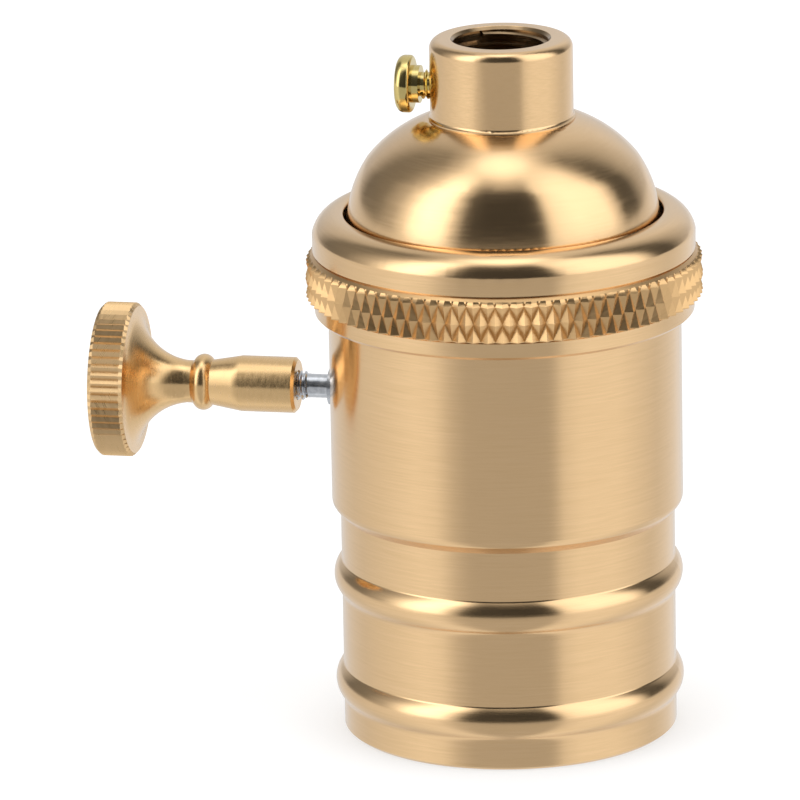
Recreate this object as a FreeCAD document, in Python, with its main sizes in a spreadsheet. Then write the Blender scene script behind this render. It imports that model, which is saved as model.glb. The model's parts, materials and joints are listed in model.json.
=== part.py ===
import FreeCAD, Part
import math
import os
import re
import Sketcher

# Lamp holder with a turning switch, in millimetres.
# The axis of the holder is Z. The open rim, where the lamp goes in, is at Z = 0, and the neck points up.
# The switch spindle and the set screw point along -X.

V = FreeCAD.Vector
doc = FreeCAD.newDocument("lamp_holder")

SIZES = [
    # Outer shell
    ("shell_radius", 17.76, "outer radius above the step"),
    ("shell_step", 0.86, "how much narrower the sleeve below the step is"),
    ("shell_wall", 0.9, "sheet thickness of the shell"),
    ("shell_height", 49.0, "rim to top edge"),
    ("step_height", 23.46, "rim to the lower end of the wide part"),
    ("step_slope", 0.8, "height of the sloped shoulder"),
    ("step_round", 1.0, "rounding of the shoulder's upper edge"),
    ("step_round_rise", 0.55, "how far over the step that rounding ends"),
    ("step_round_drop", 0.157, "how far under the step it begins"),
    ("step_round_inset", 0.293, "how far inside the shell's radius it begins"),
    ("ledge_rise", 0.55, "shoulder to the inner ledge that carries the porcelain"),
    ("rim_chamfer", 0.25, "bevel on the rim's outer edge"),
    ("bead_low", 4.85, "height of the lower rolled bead"),
    ("bead_high", 15.89, "height of the upper rolled bead"),
    ("bead_radius", 2.19, "radius of a bead's section outside"),
    ("bead_root", 0.25, "radius of the hollow over a bead"),
    ("bead_half", 1.784, "reach of a bead with that hollow upwards"),
    ("bead_neck_half", 1.601, "height over the bead's middle where its arc ends"),
    ("bead_neck_rise", 0.079, "how far outside the sleeve its arc ends there"),
    ("bead_foot_root", 0.9, "radius of the wider hollow under a bead"),
    ("bead_foot_half", 2.047, "reach of a bead with that hollow downwards"),
    ("bead_foot_neck", 1.451, "depth under the bead's middle where its arc begins"),
    ("bead_foot_rise", 0.226, "how far outside the sleeve its arc begins there"),
    ("groove_half", 1.183, "half the width of a bead's hollow inside"),
    ("shaft_hole_radius", 2.8, "hole in the shell for the spindle"),
    # Knurled ring
    ("thread_gap", 0.06, "radial clearance between the ring's thread and the shell"),
    ("ring_skirt", 5.8, "how far the ring reaches down from the shell's top edge"),
    ("ring_rise", 4.66, "how far its lip stands over the shell's top edge"),
    ("foot_wall", 1.28, "thickness of the plain band under the knurl"),
    ("brow_wall", 1.43, "thickness of the plain band over the knurl"),
    ("brow_rise", 2.51, "height over the shell's top edge where the rounded top begins"),
    ("brow_radius", 2.8, "radius of the rounded top's section"),
    ("lip_inset", 1.73, "how far the lip reaches in over the shell"),
    ("ring_chamfer", 0.3, "bevel at the ring's lower edge"),
    ("lip_round", 0.35, "rounding of the lip's inner edge"),
    ("knurl_foot", 1.95, "height of the plain band under the knurl"),
    ("knurl_height", 4.4, "height of the knurl"),
    ("knurl_relief", 0.25, "width of the groove beside the knurl"),
    ("relief_wall", 1.03, "thickness of the ring at the bottom of that groove"),
    ("knurl_wall", 1.68, "thickness of the ring at the bottom of the knurl's cuts"),
    ("knurl_depth", 0.5, "depth of the knurl's cuts"),
    ("knurl_sink", 0.25, "how far the knurled band reaches into the ring"),
    ("knurl_count", 85, "points in one turn of the diamond knurl"),
    # Cap
    ("cap_wall", 0.9, "sheet thickness of the cap"),
    ("flange_inset", 0.26, "how much smaller the cap's flange is than the shell"),
    ("flange_thickness", 1.0, "thickness of the cap's flange"),
    ("dome_inset", 2.2, "how far inside the shell's radius the dome leaves its flange"),
    ("knee_inset", 4.04, "how far inside the shell's radius the dome's two arcs meet"),
    ("knee_rise", 9.82, "height over the shell's top edge where the dome's two arcs meet"),
    ("knee_across", 0.78, "how far the wall's thickness runs outwards at that place"),
    ("knee_up", 0.62, "how far the wall's thickness runs upwards there"),
    ("dome_side_radius", 12.06, "radius of the dome's lower arc"),
    ("dome_crown_radius", 13.13, "radius of the dome's upper arc"),
    ("dome_land_radius", 7.4, "radius of the flat on top of the dome"),
    ("dome_rise", 14.16, "height of that flat over the shell's top edge"),
    ("land_across", 0.15, "how much smaller the flat is inside, in wall thicknesses"),
    # Neck collar
    ("neck_radius", 7.18, "outer radius of the collar"),
    ("neck_length", 8.14, "height of the collar over the dome"),
    ("neck_round", 0.95, "rounding of the collar's top edge"),
    ("neck_foot", 0.2, "how far the collar's foot stands out"),
    ("neck_foot_edge", 0.14, "thickness of that foot"),
    ("neck_foot_hollow", 0.35, "radius of the hollow over that foot"),
    ("neck_foot_rise", 0.28, "height of that hollow"),
    ("neck_bore", 4.46, "inner radius of the M10 x 1 thread"),
    ("neck_mouth", 0.6, "size of the thread's entry bevel"),
    ("spigot_radius", 5.7, "radius of the collar's spigot through the dome"),
    ("spigot_gap", 0.05, "clearance round the spigot"),
    ("swage_radius", 6.5, "radius of the rim that is rolled over under the dome"),
    ("swage_depth", 0.7, "thickness of that rim"),
    # Set screw
    ("screw_rise", 3.14, "height of the set screw over the dome's flat"),
    ("screw_radius", 1.5, "thread radius of the set screw"),
    ("screw_gap", 0.02, "radial clearance of a screw in its thread"),
    ("screw_tip_inset", 0.49, "distance of the screw's tip from the neck's thread"),
    ("screw_shoulder_out", 1.02, "distance of its shoulder from the collar"),
    ("screw_shoulder_radius", 1.9, "radius of the shoulder"),
    ("screw_head_out", 1.8, "distance of its head from the collar"),
    ("screw_head_radius", 2.9, "radius of the head"),
    ("screw_head_top", 1.55, "thickness of the head"),
    ("screw_head_ease", 0.35, "rounding of the head's inner edge"),
    ("screw_head_round", 0.75, "rounding of the head's outer edge"),
    ("screw_slot_width", 0.7, "width of the driver slot"),
    ("screw_slot_depth", 0.7, "depth of the driver slot"),
    # Switch key and spindle
    ("spindle_depth", 14.5, "how far the switch spindle lies below the shell's top edge"),
    ("barrel_end", 3.61, "distance of the key's inner end from the shell"),
    ("barrel_start", 9.34, "distance from the shell where the barrel begins to taper"),
    ("barrel_radius", 2.84, "radius of the barrel"),
    ("barrel_chamfer", 0.3, "bevel at the barrel's end"),
    ("waist_radius", 2.3, "radius at the end of the taper"),
    ("waist_start", 12.44, "distance of the bead's inner side from the shell"),
    ("waist_end", 14.29, "distance of the bead's outer side from the shell"),
    ("key_bead_radius", 1.04, "radius of the bead's section"),
    ("stem_radius", 2.16, "thinnest radius of the stem"),
    ("stem_start", 14.44, "distance from the shell where the thin stem begins"),
    ("flare_start", 15.04, "distance from the shell where the flare begins"),
    ("flare_radius", 6.2, "radius of the flare's hollow section"),
    ("flare_foot_radius", 6.6, "radius where the flare meets the disc"),
    ("disc_inner", 20.29, "distance of the disc's inner face from the shell"),
    ("disc_outer", 23.86, "distance of the disc's outer face from the shell"),
    ("disc_radius", 7.83, "radius of the disc"),
    ("disc_chamfer", 0.35, "bevel on the disc's edges"),
    ("notch_depth", 0.32, "depth of the disc's straight knurl"),
    ("notch_half", 0.42, "half the width of one knurl notch"),
    ("notch_count", 44, "notches round the disc"),
    ("key_bore_end", 9.84, "distance of the bottom of the key's thread from the shell"),
    ("spindle_radius", 1.2, "radius of the spindle"),
    ("spindle_thread", 1.5, "radius of the spindle's thread"),
    ("spindle_thread_start", 2.34, "distance from the shell where the thread begins"),
    ("spindle_thread_end", 9.44, "distance of the spindle's outer end from the shell"),
    ("running_gap", 0.04, "radial clearance of the spindle in its bearings"),
    ("spindle_tail", 7.9, "how far the spindle reaches past the axis"),
    ("spindle_flat", 0.9, "height of the driving flat over the spindle's centre"),
    # Spindle bush
    ("bush_radius", 2.2, "outer radius of the bush"),
    ("bush_nose_radius", 1.85, "radius of the bush's nose in the shell's hole"),
    ("bush_nose", 0.34, "how far the bush's nose reaches out of the shell"),
    ("bush_step", 1.46, "depth below the shell's face where the nose begins"),
    ("fit_gap", 0.03, "clearance of parts that are pressed or set in place"),
    # Porcelain
    ("flange_room", 0.36, "clearance of the porcelain's flange in the shell"),
    ("flange_depth", 3.0, "thickness of the porcelain's flange"),
    ("core_room", 1.51, "clearance of the porcelain above its flange in the shell"),
    ("skirt_room", 0.5, "clearance of the porcelain skirt in the sleeve"),
    ("skirt_wall", 1.4, "thickness of the skirt"),
    ("skirt_bottom", 8.0, "height of the skirt's lower edge"),
    ("floor_depth", 9.9, "distance of the skirt's inner floor below the spindle"),
    ("cover_rise", 9.0, "height of the cover's top over the spindle"),
    ("cavity_rise", 6.0, "half the height of the switch cavity, above and below the spindle"),
    ("cavity_near", 6.0, "depth of the cavity towards the key"),
    ("cavity_far", 4.0, "depth of the cavity away from the key"),
    ("cavity_half", 5.0, "half the width of the cavity"),
    ("tail_gap", 0.3, "clearance past the spindle's tail"),
    ("rib_half", 11.0, "half the length of the barrier rib"),
    ("rib_near", 4.4, "near side of the rib"),
    ("rib_width", 1.4, "thickness of the rib"),
    ("rib_height", 3.0, "height of the rib"),
    # Liner
    ("liner_room", 0.26, "clearance of the insulating liner in the shell"),
    ("liner_wall", 0.8, "thickness of the liner"),
    # Lamp thread
    ("lamp_pitch", 3.629, "pitch of the E27 thread"),
    ("lamp_room", 0.8, "distance from the skirt to the inside of the thread's hollows"),
    ("lamp_depth", 1.05, "depth of the lamp thread"),
    ("lamp_plain_inset", 0.3, "how far the plain ends lie inside its hollows"),
    ("lamp_sheet", 0.3, "sheet thickness of the screw shell"),
    ("lamp_rim", 6.5, "height of the screw shell's rim"),
    ("lamp_thread_low", 8.0, "height where the thread is fully formed"),
    ("lamp_thread_end", 4.0, "distance below the floor where the thread ends"),
    ("lamp_fade", 1.2, "run-out of the thread at each end"),
    ("floor_hole_inset", 2.5, "how far inside the assembly screws the hole in the screw shell's floor ends"),
    # Fixings
    ("rivet_radius", 1.25, "radius of the contact rivets"),
    ("rivet_head_radius", 2.2, "radius of their heads"),
    ("rivet_head", 0.7, "thickness of their heads"),
    ("stud_radius", 1.5, "thread radius of the assembly screws"),
    ("stud_inset", 8.96, "distance of the assembly screws from the shell's outer face"),
    ("stud_head_radius", 2.5, "radius of their heads"),
    ("stud_head", 1.7, "thickness of their heads"),
    ("stud_gap", 0.15, "clearance of the assembly screws in the porcelain"),
    ("stud_past", 0.6, "how far the screws stand out of their nuts"),
    ("nut_radius", 3.15, "radius over a nut's corners"),
    ("nut_height", 2.3, "height of a nut"),
    ("binder_radius", 1.6, "thread radius of the terminal screws"),
    ("binder_head_radius", 2.6, "radius of their heads"),
    ("binder_head", 1.9, "thickness of their heads"),
    ("binder_depth", 3.0, "how far they reach into the cover"),
    ("binder_place", 6.0, "distance of the terminal screws along X"),
    ("slot_width", 0.8, "width of a driver slot"),
    ("slot_depth", 0.9, "depth of a driver slot"),
    # Contacts
    ("strip", 0.4, "thickness of the contact strips"),
    ("tongue_half", 2.4, "half the width of the centre tongue"),
    ("tongue_back", 3.0, "how far its foot reaches behind the rivet"),
    ("tongue_inset", 1.9, "how far inside the floor's hole its foot starts to fold over"),
    ("tongue_fold", 3.2, "depth of the fold"),
    ("tongue_drop", 5.2, "distance of the tongue's lowest point, which the lamp meets, below the floor"),
    ("tongue_rise", 1.0, "how far the tongue's free end turns up"),
    ("leaf_thickness", 0.3, "thickness of the switch leaves"),
    ("leaf_half", 2.4, "half the width of the leaves"),
    ("leaf_gap", 0.08, "clearance between a leaf and the drum"),
    ("leaf_back", 2.6, "how far a leaf's foot reaches past its rivet"),
    ("leaf_bend", 0.8, "outer radius of a leaf's bend"),
    ("leaf_reach", 3.8, "how far a leaf reaches past the spindle's height"),
    ("drum_radius", 3.2, "radius of the switch drum"),
    ("drum_near", 5.7, "distance of the drum's end towards the key"),
    ("drum_length", 7.6, "length of the drum"),
    ("clip_half", 1.5, "half the width of the contact clip"),
    ("clip_sheet", 0.4, "thickness of the contact clip"),
    ("clip_near", 3.6, "distance of the clip's open end towards the key"),
    ("plate", 0.8, "thickness of the terminal plates"),
    ("plate_half", 2.9, "half the width of the terminal plates"),
    ("plate_back", 3.2, "how far a plate reaches behind its rivet"),
    ("plate_front", 9.6, "how far a plate reaches in front of its rivet"),
    ("plate_tab", 2.6, "height of the turned-up end"),
]

sheet = doc.addObject("Spreadsheet::Sheet", "Sizes")
for row, (alias, size, meaning) in enumerate(SIZES, 1):
    sheet.set("A%d" % row, meaning)
    sheet.set("B%d" % row, str(size))
    sheet.setAlias("B%d" % row, alias)
doc.recompute()
sizes = {alias: float(sheet.get(alias)) for alias, _, _ in SIZES}

# Places and radii that follow from the sizes.
PLACES = {
    "sleeve_radius": "shell_radius - shell_step",
    "ring_bore": "shell_radius + thread_gap",
    "ring_bottom": "shell_height - ring_skirt",
    "ring_top": "shell_height + ring_rise",
    "ring_foot_radius": "ring_bore + foot_wall",
    "ring_band_radius": "ring_bore + brow_wall",
    "ring_brow": "shell_height + brow_rise",
    "ring_lip_radius": "shell_radius - lip_inset",
    "knurl_bottom": "ring_bottom + knurl_foot",
    "knurl_top": "knurl_bottom + knurl_height",
    "knurl_core": "ring_bore + relief_wall",
    "knurl_root": "ring_bore + knurl_wall",
    "knurl_tip": "knurl_root + knurl_depth",
    "flange_radius": "shell_radius - flange_inset",
    "flange_top": "shell_height + flange_thickness",
    "dome_foot_radius": "shell_radius - dome_inset",
    "dome_knee_radius": "shell_radius - knee_inset",
    "dome_knee_height": "shell_height + knee_rise",
    "dome_land_height": "shell_height + dome_rise",
    "neck_top": "dome_land_height + neck_length",
    "screw_height": "dome_land_height + screw_rise",
    "screw_tip": "neck_bore + screw_tip_inset",
    "screw_shoulder": "neck_radius + screw_shoulder_out",
    "screw_head": "neck_radius + screw_head_out",
    "spindle_height": "shell_height - spindle_depth",
    "ledge": "step_height + ledge_rise",
    "flange_reach": "shell_radius - shell_wall - flange_room",
    "core_radius": "shell_radius - shell_wall - core_room",
    "skirt_radius": "sleeve_radius - shell_wall - skirt_room",
    "skirt_bore": "skirt_radius - skirt_wall",
    "cup_floor": "spindle_height - floor_depth",
    "cover_top": "spindle_height + cover_rise",
    "liner_radius": "shell_radius - shell_wall - liner_room",
    "lamp_thread_high": "cup_floor - lamp_thread_end",
    "lamp_major": "skirt_bore - lamp_room",
    "lamp_minor": "lamp_major - lamp_depth",
    "lamp_plain": "lamp_major - lamp_plain_inset",
    "stud_reach": "shell_radius - stud_inset",
    "lamp_floor_hole": "stud_reach - floor_hole_inset",
    "tongue_front": "lamp_floor_hole - tongue_inset",
    "tongue_tip": "cup_floor - tongue_drop",
}


# Helpers: a length is written as a sum of these names, such as "shell_radius - shell_wall*0.5".


def number(text):
    """Works out a sum of names and numbers."""
    total = 0.0
    for term in text.replace(" - ", " + -").split(" + "):
        product = -1.0 if term.startswith("-") else 1.0
        for factor in term.lstrip("-").split("*"):
            if factor in PLACES:
                product *= number(PLACES[factor])
            else:
                product *= sizes[factor] if factor in sizes else float(factor)
        total += product
    return total


def spelled_out(text):
    """The same sum with every name traced back to the sheet."""
    def cell(word):
        name = word.group()
        return "(" + spelled_out(PLACES[name]) + ")" if name in PLACES else "Sizes." + name

    return re.sub(r"[a-z_]+", cell, text)


def bind(item, prop, text):
    """Ties a property to the same sum in the sheet."""
    item.setExpression(prop, spelled_out(text))


def origin_plane(body, role):
    return [part for part in body.Origin.OriginFeatures if part.Role == role][0]


def arc_between(start, end, radius, side):
    """The short arc from start to end with its centre on the left or right of the way."""
    chord = end - start
    middle = (start + end) * 0.5
    left = V(-chord.y, chord.x, 0).normalize()
    height = math.sqrt(radius**2 - (chord.Length / 2) ** 2)
    centre = middle + left * (height if side == "left" else -height)
    first, last = (start, end) if side == "left" else (end, start)
    angles = [math.atan2(point.y - centre.y, point.x - centre.x) for point in (first, last)]
    return Part.ArcOfCircle(Part.Circle(centre, V(0, 0, 1), radius), *angles)


def pin_down(sketch, piece, corner, point):
    """Fixes one corner of a sketch at its two named distances from the origin."""
    for kind, text, axis in (("DistanceX", point[0], -2), ("DistanceY", point[1], -1)):
        if text == "0":
            sketch.addConstraint(Sketcher.Constraint("PointOnObject", piece, corner, axis))
            continue
        place = sketch.addConstraint(Sketcher.Constraint(kind, -1, 1, piece, corner, number(text)))
        bind(sketch, "Constraints[%d]" % place, text)


def outline(body, role, points):
    """A closed outline. A point is (across, up), and an arc to it adds (radius, side of its centre)."""
    sketch = body.newObject("Sketcher::SketchObject", body.Name + "_outline")
    sketch.AttachmentSupport = [(origin_plane(body, role), "")]
    sketch.MapMode = "FlatFace"
    places = [V(number(point[0]), number(point[1]), 0) for point in points]
    ends = []
    for index, point in enumerate(points):
        start, end = places[index - 1], places[index]
        if len(point) == 2:
            sketch.addGeometry(Part.LineSegment(start, end))
            ends.append((1, 2))
        else:
            radius, side = point[2:]
            sketch.addGeometry(arc_between(start, end, number(radius), side))
            ends.append((1, 2) if side == "left" else (2, 1))
    for index, point in enumerate(points):
        before = (index - 1) % len(points)
        sketch.addConstraint(Sketcher.Constraint("Coincident", before, ends[before][1], index, ends[index][0]))
        pin_down(sketch, index, ends[index][1], point)
        if len(point) == 4:
            place = sketch.addConstraint(Sketcher.Constraint("Radius", index, number(point[2])))
            bind(sketch, "Constraints[%d]" % place, point[2])
    return sketch


def turned(name, points, placement=None):
    """A piece turned round its own Z axis from an outline of (radius, height) points."""
    body = doc.addObject("PartDesign::Body", name)
    sketch = outline(body, "XZ_Plane", points)
    turn = body.newObject("PartDesign::Revolution", name + "_turned")
    turn.Profile = sketch
    turn.ReferenceAxis = (sketch, ["V_Axis"])
    turn.Angle = 360
    if placement:
        body.Placement = placement
    return body


def pressed(name, role, points, half_width):
    """A strip bent to an outline and as wide as twice half_width."""
    body = doc.addObject("PartDesign::Body", name)
    pad = body.newObject("PartDesign::Pad", name + "_strip")
    pad.Profile = outline(body, role, points)
    pad.SideType = "Symmetric"
    bind(pad, "Length", half_width + "*2")
    body.Tip = pad
    return body


def place_at(item, corner):
    for axis, text in zip("xyz", corner):
        if text != "0":
            bind(item, "Placement.Base." + axis, text)
    return item


def peg(name, radius, length, foot, turn=None):
    """A round bar from its foot, along Z or turned."""
    item = doc.addObject("Part::Cylinder", name)
    if turn:
        item.Placement = FreeCAD.Placement(V(), turn)
    bind(item, "Radius", radius)
    bind(item, "Height", length)
    return place_at(item, foot)


def block(name, lengths, corner):
    item = doc.addObject("Part::Box", name)
    for prop, text in zip(("Length", "Width", "Height"), lengths):
        bind(item, prop, text)
    return place_at(item, corner)


def gathered(name, kind, items):
    item = doc.addObject(kind, name)
    if kind == "Part::Compound":
        item.Links = items
    else:
        item.Shapes = items
    return item


def cut(name, blank, *cutters):
    """The blank without what its cutters take away."""
    item = doc.addObject("Part::Cut", name)
    item.Base = blank
    item.Tool = cutters[0] if len(cutters) == 1 else gathered(name + "_cutters", "Part::MultiFuse", list(cutters))
    return item


def joined(name, *items):
    return gathered(name, "Part::MultiFuse", list(items))


ALONG_KEY = FreeCAD.Rotation(V(0, 1, 0), -90)  # turns +Z to -X, the way that the key points
ALONG_X = FreeCAD.Rotation(V(0, 1, 0), 90)


def key_placement(height):
    """For pieces on the spindle or the set screw: their own +Z is the machine's -X."""
    return FreeCAD.Placement(V(0, 0, height), ALONG_KEY)


STEPS_PER_TURN = 24  # how finely the lamp thread's surface is worked out
LEVELS_PER_PITCH = 8
nodes = {}


def keep(name, item):
    """Names a finished piece: its Label is its node's name."""
    item.Label = name
    nodes[name] = item
    return item


# Outer shell: spun sleeve with one step and two rolled beads that show inside as grooves.


def outer_shell():
    inside = "sleeve_radius - shell_wall"
    bead_inside = ("bead_radius - shell_wall", "right")
    neck = "sleeve_radius + bead_neck_rise"
    foot = "sleeve_radius + bead_foot_rise"
    beads = []
    for height in ("bead_low", "bead_high"):
        beads += [
            ("sleeve_radius", height + " - bead_foot_half"),
            (foot, height + " - bead_foot_neck", "bead_foot_root", "right"),
            (neck, height + " + bead_neck_half", "bead_radius", "left"),
            ("sleeve_radius", height + " + bead_half", "bead_root", "right"),
        ]
    blank = turned("shell_blank", [
        (inside, "0"),
        ("sleeve_radius - rim_chamfer", "0"),
        ("sleeve_radius", "rim_chamfer"),
        *beads,
        ("sleeve_radius", "step_height - step_slope"),
        ("shell_radius - step_round_inset", "step_height - step_round_drop"),
        ("shell_radius", "step_height + step_round_rise", "step_round", "left"),
        ("shell_radius", "shell_height"),
        ("shell_radius - shell_wall", "shell_height"),
        ("shell_radius - shell_wall", "ledge"),
        (inside, "ledge"),
        (inside, "bead_high + groove_half"),
        (inside, "bead_high - groove_half", *bead_inside),
        (inside, "bead_low + groove_half"),
        (inside, "bead_low - groove_half", *bead_inside),
    ])
    drill = peg("shell_drill", "shaft_hole_radius", "shell_radius*1.2", ("0", "0", "spindle_height"), ALONG_KEY)
    keep("outer_shell", cut("outer_shell", blank, drill))


# Knurled ring: it screws down the shell, and its lip holds the cap's flange.


def ring_line(radius, across, along, height):
    return Part.Wire(Part.makeCircle(radius, V(across, along, height)))


def flat_between(outside, holes):
    """A flat face inside one closed line and outside the others."""
    return Part.makeFace([outside] + holes, "Part::FaceMakerBullseye")


def closed(faces):
    """The solid that the faces shut in."""
    shell = Part.makeShell(faces)
    shell.sewShape()
    solid = Part.makeSolid(shell)
    if solid.Volume < 0:
        solid.reverse()
    return solid


def knurled_band():
    """The diamond knurl: rows of four-sided points, cut off at the band's edges, on a plain hoop."""
    low, high = number("knurl_bottom"), number("knurl_top")
    root, tip = number("knurl_root"), number("knurl_tip")
    count = int(sizes["knurl_count"])
    rise = (high - low) / 5  # a quarter of a diamond's height: the band shows one and a quarter

    def at(column, row, radius):
        """A place on the band: columns are a quarter of a diamond wide, and rows a quarter high."""
        angle = 2 * math.pi * column / (4 * count)
        return V(radius * math.cos(angle), radius * math.sin(angle), high - row * rise)

    faces = []
    for column in range(0, 4 * count, 4):
        top_edge = [at(column + step, 0, root if step % 2 else (root + tip) / 2) for step in range(-2, 3)]
        left, right = at(column - 2, 1, root), at(column + 2, 1, root)
        point = at(column, 1, tip)
        below = at(column, 3, root)
        foot, foot_left, foot_right = at(column, 5, tip), at(column - 2, 5, root), at(column + 2, 5, root)
        side_point = at(column + 2, 3, tip)
        side_below = at(column + 2, 5, root)
        next_below = at(column + 4, 3, root)
        faces += [
            (top_edge[1], left, point), (top_edge[2], top_edge[1], point),
            (top_edge[3], top_edge[2], point), (right, top_edge[3], point),
            (top_edge[0], left, top_edge[1]), (top_edge[4], top_edge[3], right),
            (left, below, point), (below, right, point),
            (below, foot_left, foot), (foot_right, below, foot),
            (right, below, side_point), (below, side_below, side_point),
            (side_below, next_below, side_point), (next_below, right, side_point),
        ]
    skin = [Part.Face(Part.makePolygon([a, b, c, a])) for a, b, c in faces]
    bore = number("knurl_core - knurl_sink")
    for row, step, ridge in ((0, 1, (root + tip) / 2), (5, 2, tip)):
        columns = range(0, 4 * count, step)
        edge = [at(column, row, root if column % (2 * step) else ridge) for column in columns]
        skin.append(flat_between(Part.makePolygon(edge + edge[:1]), [ring_line(bore, 0, 0, high - row * rise)]))
    skin.append(Part.makeCylinder(bore, high - low, V(0, 0, low)).Faces[0])
    return closed(skin)


def knurled_ring():
    blank = turned("ring_blank", [
        ("ring_bore", "ring_bottom"),
        ("ring_foot_radius - ring_chamfer", "ring_bottom"),
        ("ring_foot_radius", "ring_bottom + ring_chamfer"),
        ("ring_foot_radius", "knurl_bottom - knurl_relief"),
        ("knurl_core", "knurl_bottom - knurl_relief"),
        ("knurl_core", "knurl_top + knurl_relief"),
        ("ring_band_radius", "knurl_top + knurl_relief"),
        ("ring_band_radius", "ring_brow"),
        ("ring_lip_radius + lip_round", "ring_top", "brow_radius", "left"),
        ("ring_lip_radius", "ring_top - lip_round", "lip_round", "left"),
        ("ring_lip_radius", "flange_top"),
        ("ring_bore", "flange_top"),
    ])
    band = doc.addObject("Part::Feature", "ring_knurl")
    band.Shape = knurled_band()
    keep("knurled_ring", joined("knurled_ring", blank, band))


# Cap: a spun dome with a flange, and a turned collar riveted into its top.


def cap_dome():
    keep("cap_dome", turned("cap_dome", [
        ("dome_foot_radius - cap_wall", "shell_height"),
        ("flange_radius", "shell_height"),
        ("flange_radius", "flange_top"),
        ("dome_foot_radius", "flange_top"),
        ("dome_knee_radius", "dome_knee_height", "dome_side_radius", "left"),
        ("dome_land_radius", "dome_land_height", "dome_crown_radius", "left"),
        ("spigot_radius + spigot_gap", "dome_land_height"),
        ("spigot_radius + spigot_gap", "dome_land_height - cap_wall"),
        ("dome_land_radius - cap_wall*land_across", "dome_land_height - cap_wall"),
        ("dome_knee_radius - cap_wall*knee_across", "dome_knee_height - cap_wall*knee_up",
         "dome_crown_radius - cap_wall", "right"),
        ("dome_foot_radius - cap_wall", "flange_top", "dome_side_radius - cap_wall", "right"),
    ]))


def neck_collar():
    under = "dome_land_height - cap_wall"
    foot = "neck_radius + neck_foot"
    blank = turned("collar_blank", [
        ("neck_bore", under + " - swage_depth"),
        ("swage_radius", under + " - swage_depth"),
        ("swage_radius", under),
        ("spigot_radius", under),
        ("spigot_radius", "dome_land_height"),
        (foot, "dome_land_height"),
        (foot, "dome_land_height + neck_foot_edge"),
        ("neck_radius", "dome_land_height + neck_foot_edge + neck_foot_rise", "neck_foot_hollow", "right"),
        ("neck_radius", "neck_top - neck_round"),
        ("neck_radius - neck_round", "neck_top", "neck_round", "left"),
        ("neck_bore + neck_mouth", "neck_top"),
        ("neck_bore", "neck_top - neck_mouth"),
    ])
    drill = peg("collar_drill", "screw_radius + screw_gap", "neck_radius*1.2", ("0", "0", "screw_height"), ALONG_KEY)
    keep("neck_collar", cut("neck_collar", blank, drill))


def set_screw():
    blank = turned("set_screw_blank", [
        ("0", "screw_tip"),
        ("screw_radius - screw_gap*10", "screw_tip"),
        ("screw_radius", "screw_tip + screw_gap*10"),
        ("screw_radius", "screw_shoulder"),
        ("screw_shoulder_radius", "screw_shoulder"),
        ("screw_shoulder_radius", "screw_head"),
        ("screw_head_radius - screw_head_ease", "screw_head"),
        ("screw_head_radius", "screw_head + screw_head_ease", "screw_head_ease", "left"),
        ("screw_head_radius", "screw_head + screw_head_top - screw_head_round"),
        ("screw_head_radius - screw_head_round", "screw_head + screw_head_top", "screw_head_round", "left"),
        ("0", "screw_head + screw_head_top"),
    ], key_placement(number("screw_height")))
    bind(blank, "Placement.Base.z", "screw_height")
    slot = block("set_screw_slot", ("screw_slot_depth*2", "screw_head_radius*2.2", "screw_slot_width"),
                 ("-screw_head - screw_head_top - screw_slot_depth", "-screw_head_radius*1.1",
                  "screw_height - screw_slot_width*0.5"))
    keep("set_screw", cut("set_screw", blank, slot))


# Switch: key, spindle, bush, drum and its contact clip.

SHELL_FACE = "shell_radius + "  # distances along the key are counted from the shell


def knob():
    body = turned("knob", [
        ("spindle_thread + screw_gap", SHELL_FACE + "barrel_end"),
        ("barrel_radius - barrel_chamfer", SHELL_FACE + "barrel_end"),
        ("barrel_radius", SHELL_FACE + "barrel_end + barrel_chamfer"),
        ("barrel_radius", SHELL_FACE + "barrel_start"),
        ("waist_radius", SHELL_FACE + "waist_start"),
        ("waist_radius", SHELL_FACE + "waist_end", "key_bead_radius", "left"),
        ("stem_radius", SHELL_FACE + "stem_start"),
        ("stem_radius", SHELL_FACE + "flare_start"),
        ("flare_foot_radius", SHELL_FACE + "disc_inner", "flare_radius", "right"),
        ("disc_radius - disc_chamfer", SHELL_FACE + "disc_inner"),
        ("disc_radius", SHELL_FACE + "disc_inner + disc_chamfer"),
        ("disc_radius", SHELL_FACE + "disc_outer - disc_chamfer"),
        ("disc_radius - disc_chamfer", SHELL_FACE + "disc_outer"),
        ("0", SHELL_FACE + "disc_outer"),
        ("0", SHELL_FACE + "key_bore_end"),
        ("spindle_thread + screw_gap", SHELL_FACE + "key_bore_end"),
    ], key_placement(number("spindle_height")))
    bind(body, "Placement.Base.z", "spindle_height")
    notch = body.newObject("Sketcher::SketchObject", "knob_notch")
    notch.AttachmentSupport = [(origin_plane(body, "XY_Plane"), "")]
    notch.MapMode = "FlatFace"
    corners = [("disc_radius - notch_depth", "0"), ("disc_radius + notch_depth", "notch_half*2"),
               ("disc_radius + notch_depth", "-notch_half*2")]
    places = [V(number(across), number(up), 0) for across, up in corners]
    for index, corner in enumerate(corners):
        notch.addGeometry(Part.LineSegment(places[index - 1], places[index]))
    for index, corner in enumerate(corners):
        notch.addConstraint(Sketcher.Constraint("Coincident", (index - 1) % 3, 2, index, 1))
        pin_down(notch, index, 2, corner)
    pocket = body.newObject("PartDesign::Pocket", "knob_notch_cut")
    pocket.Profile = notch
    pocket.Reversed = True
    bind(pocket, "Length", "shell_radius + disc_outer*1.1")
    ring = body.newObject("PartDesign::PolarPattern", "knob_knurl")
    ring.Originals = [pocket]
    ring.Axis = (origin_plane(body, "Z_Axis"), [""])
    ring.Angle = 360
    bind(ring, "Occurrences", "notch_count")
    body.Tip = ring
    keep("knob", body)


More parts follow.
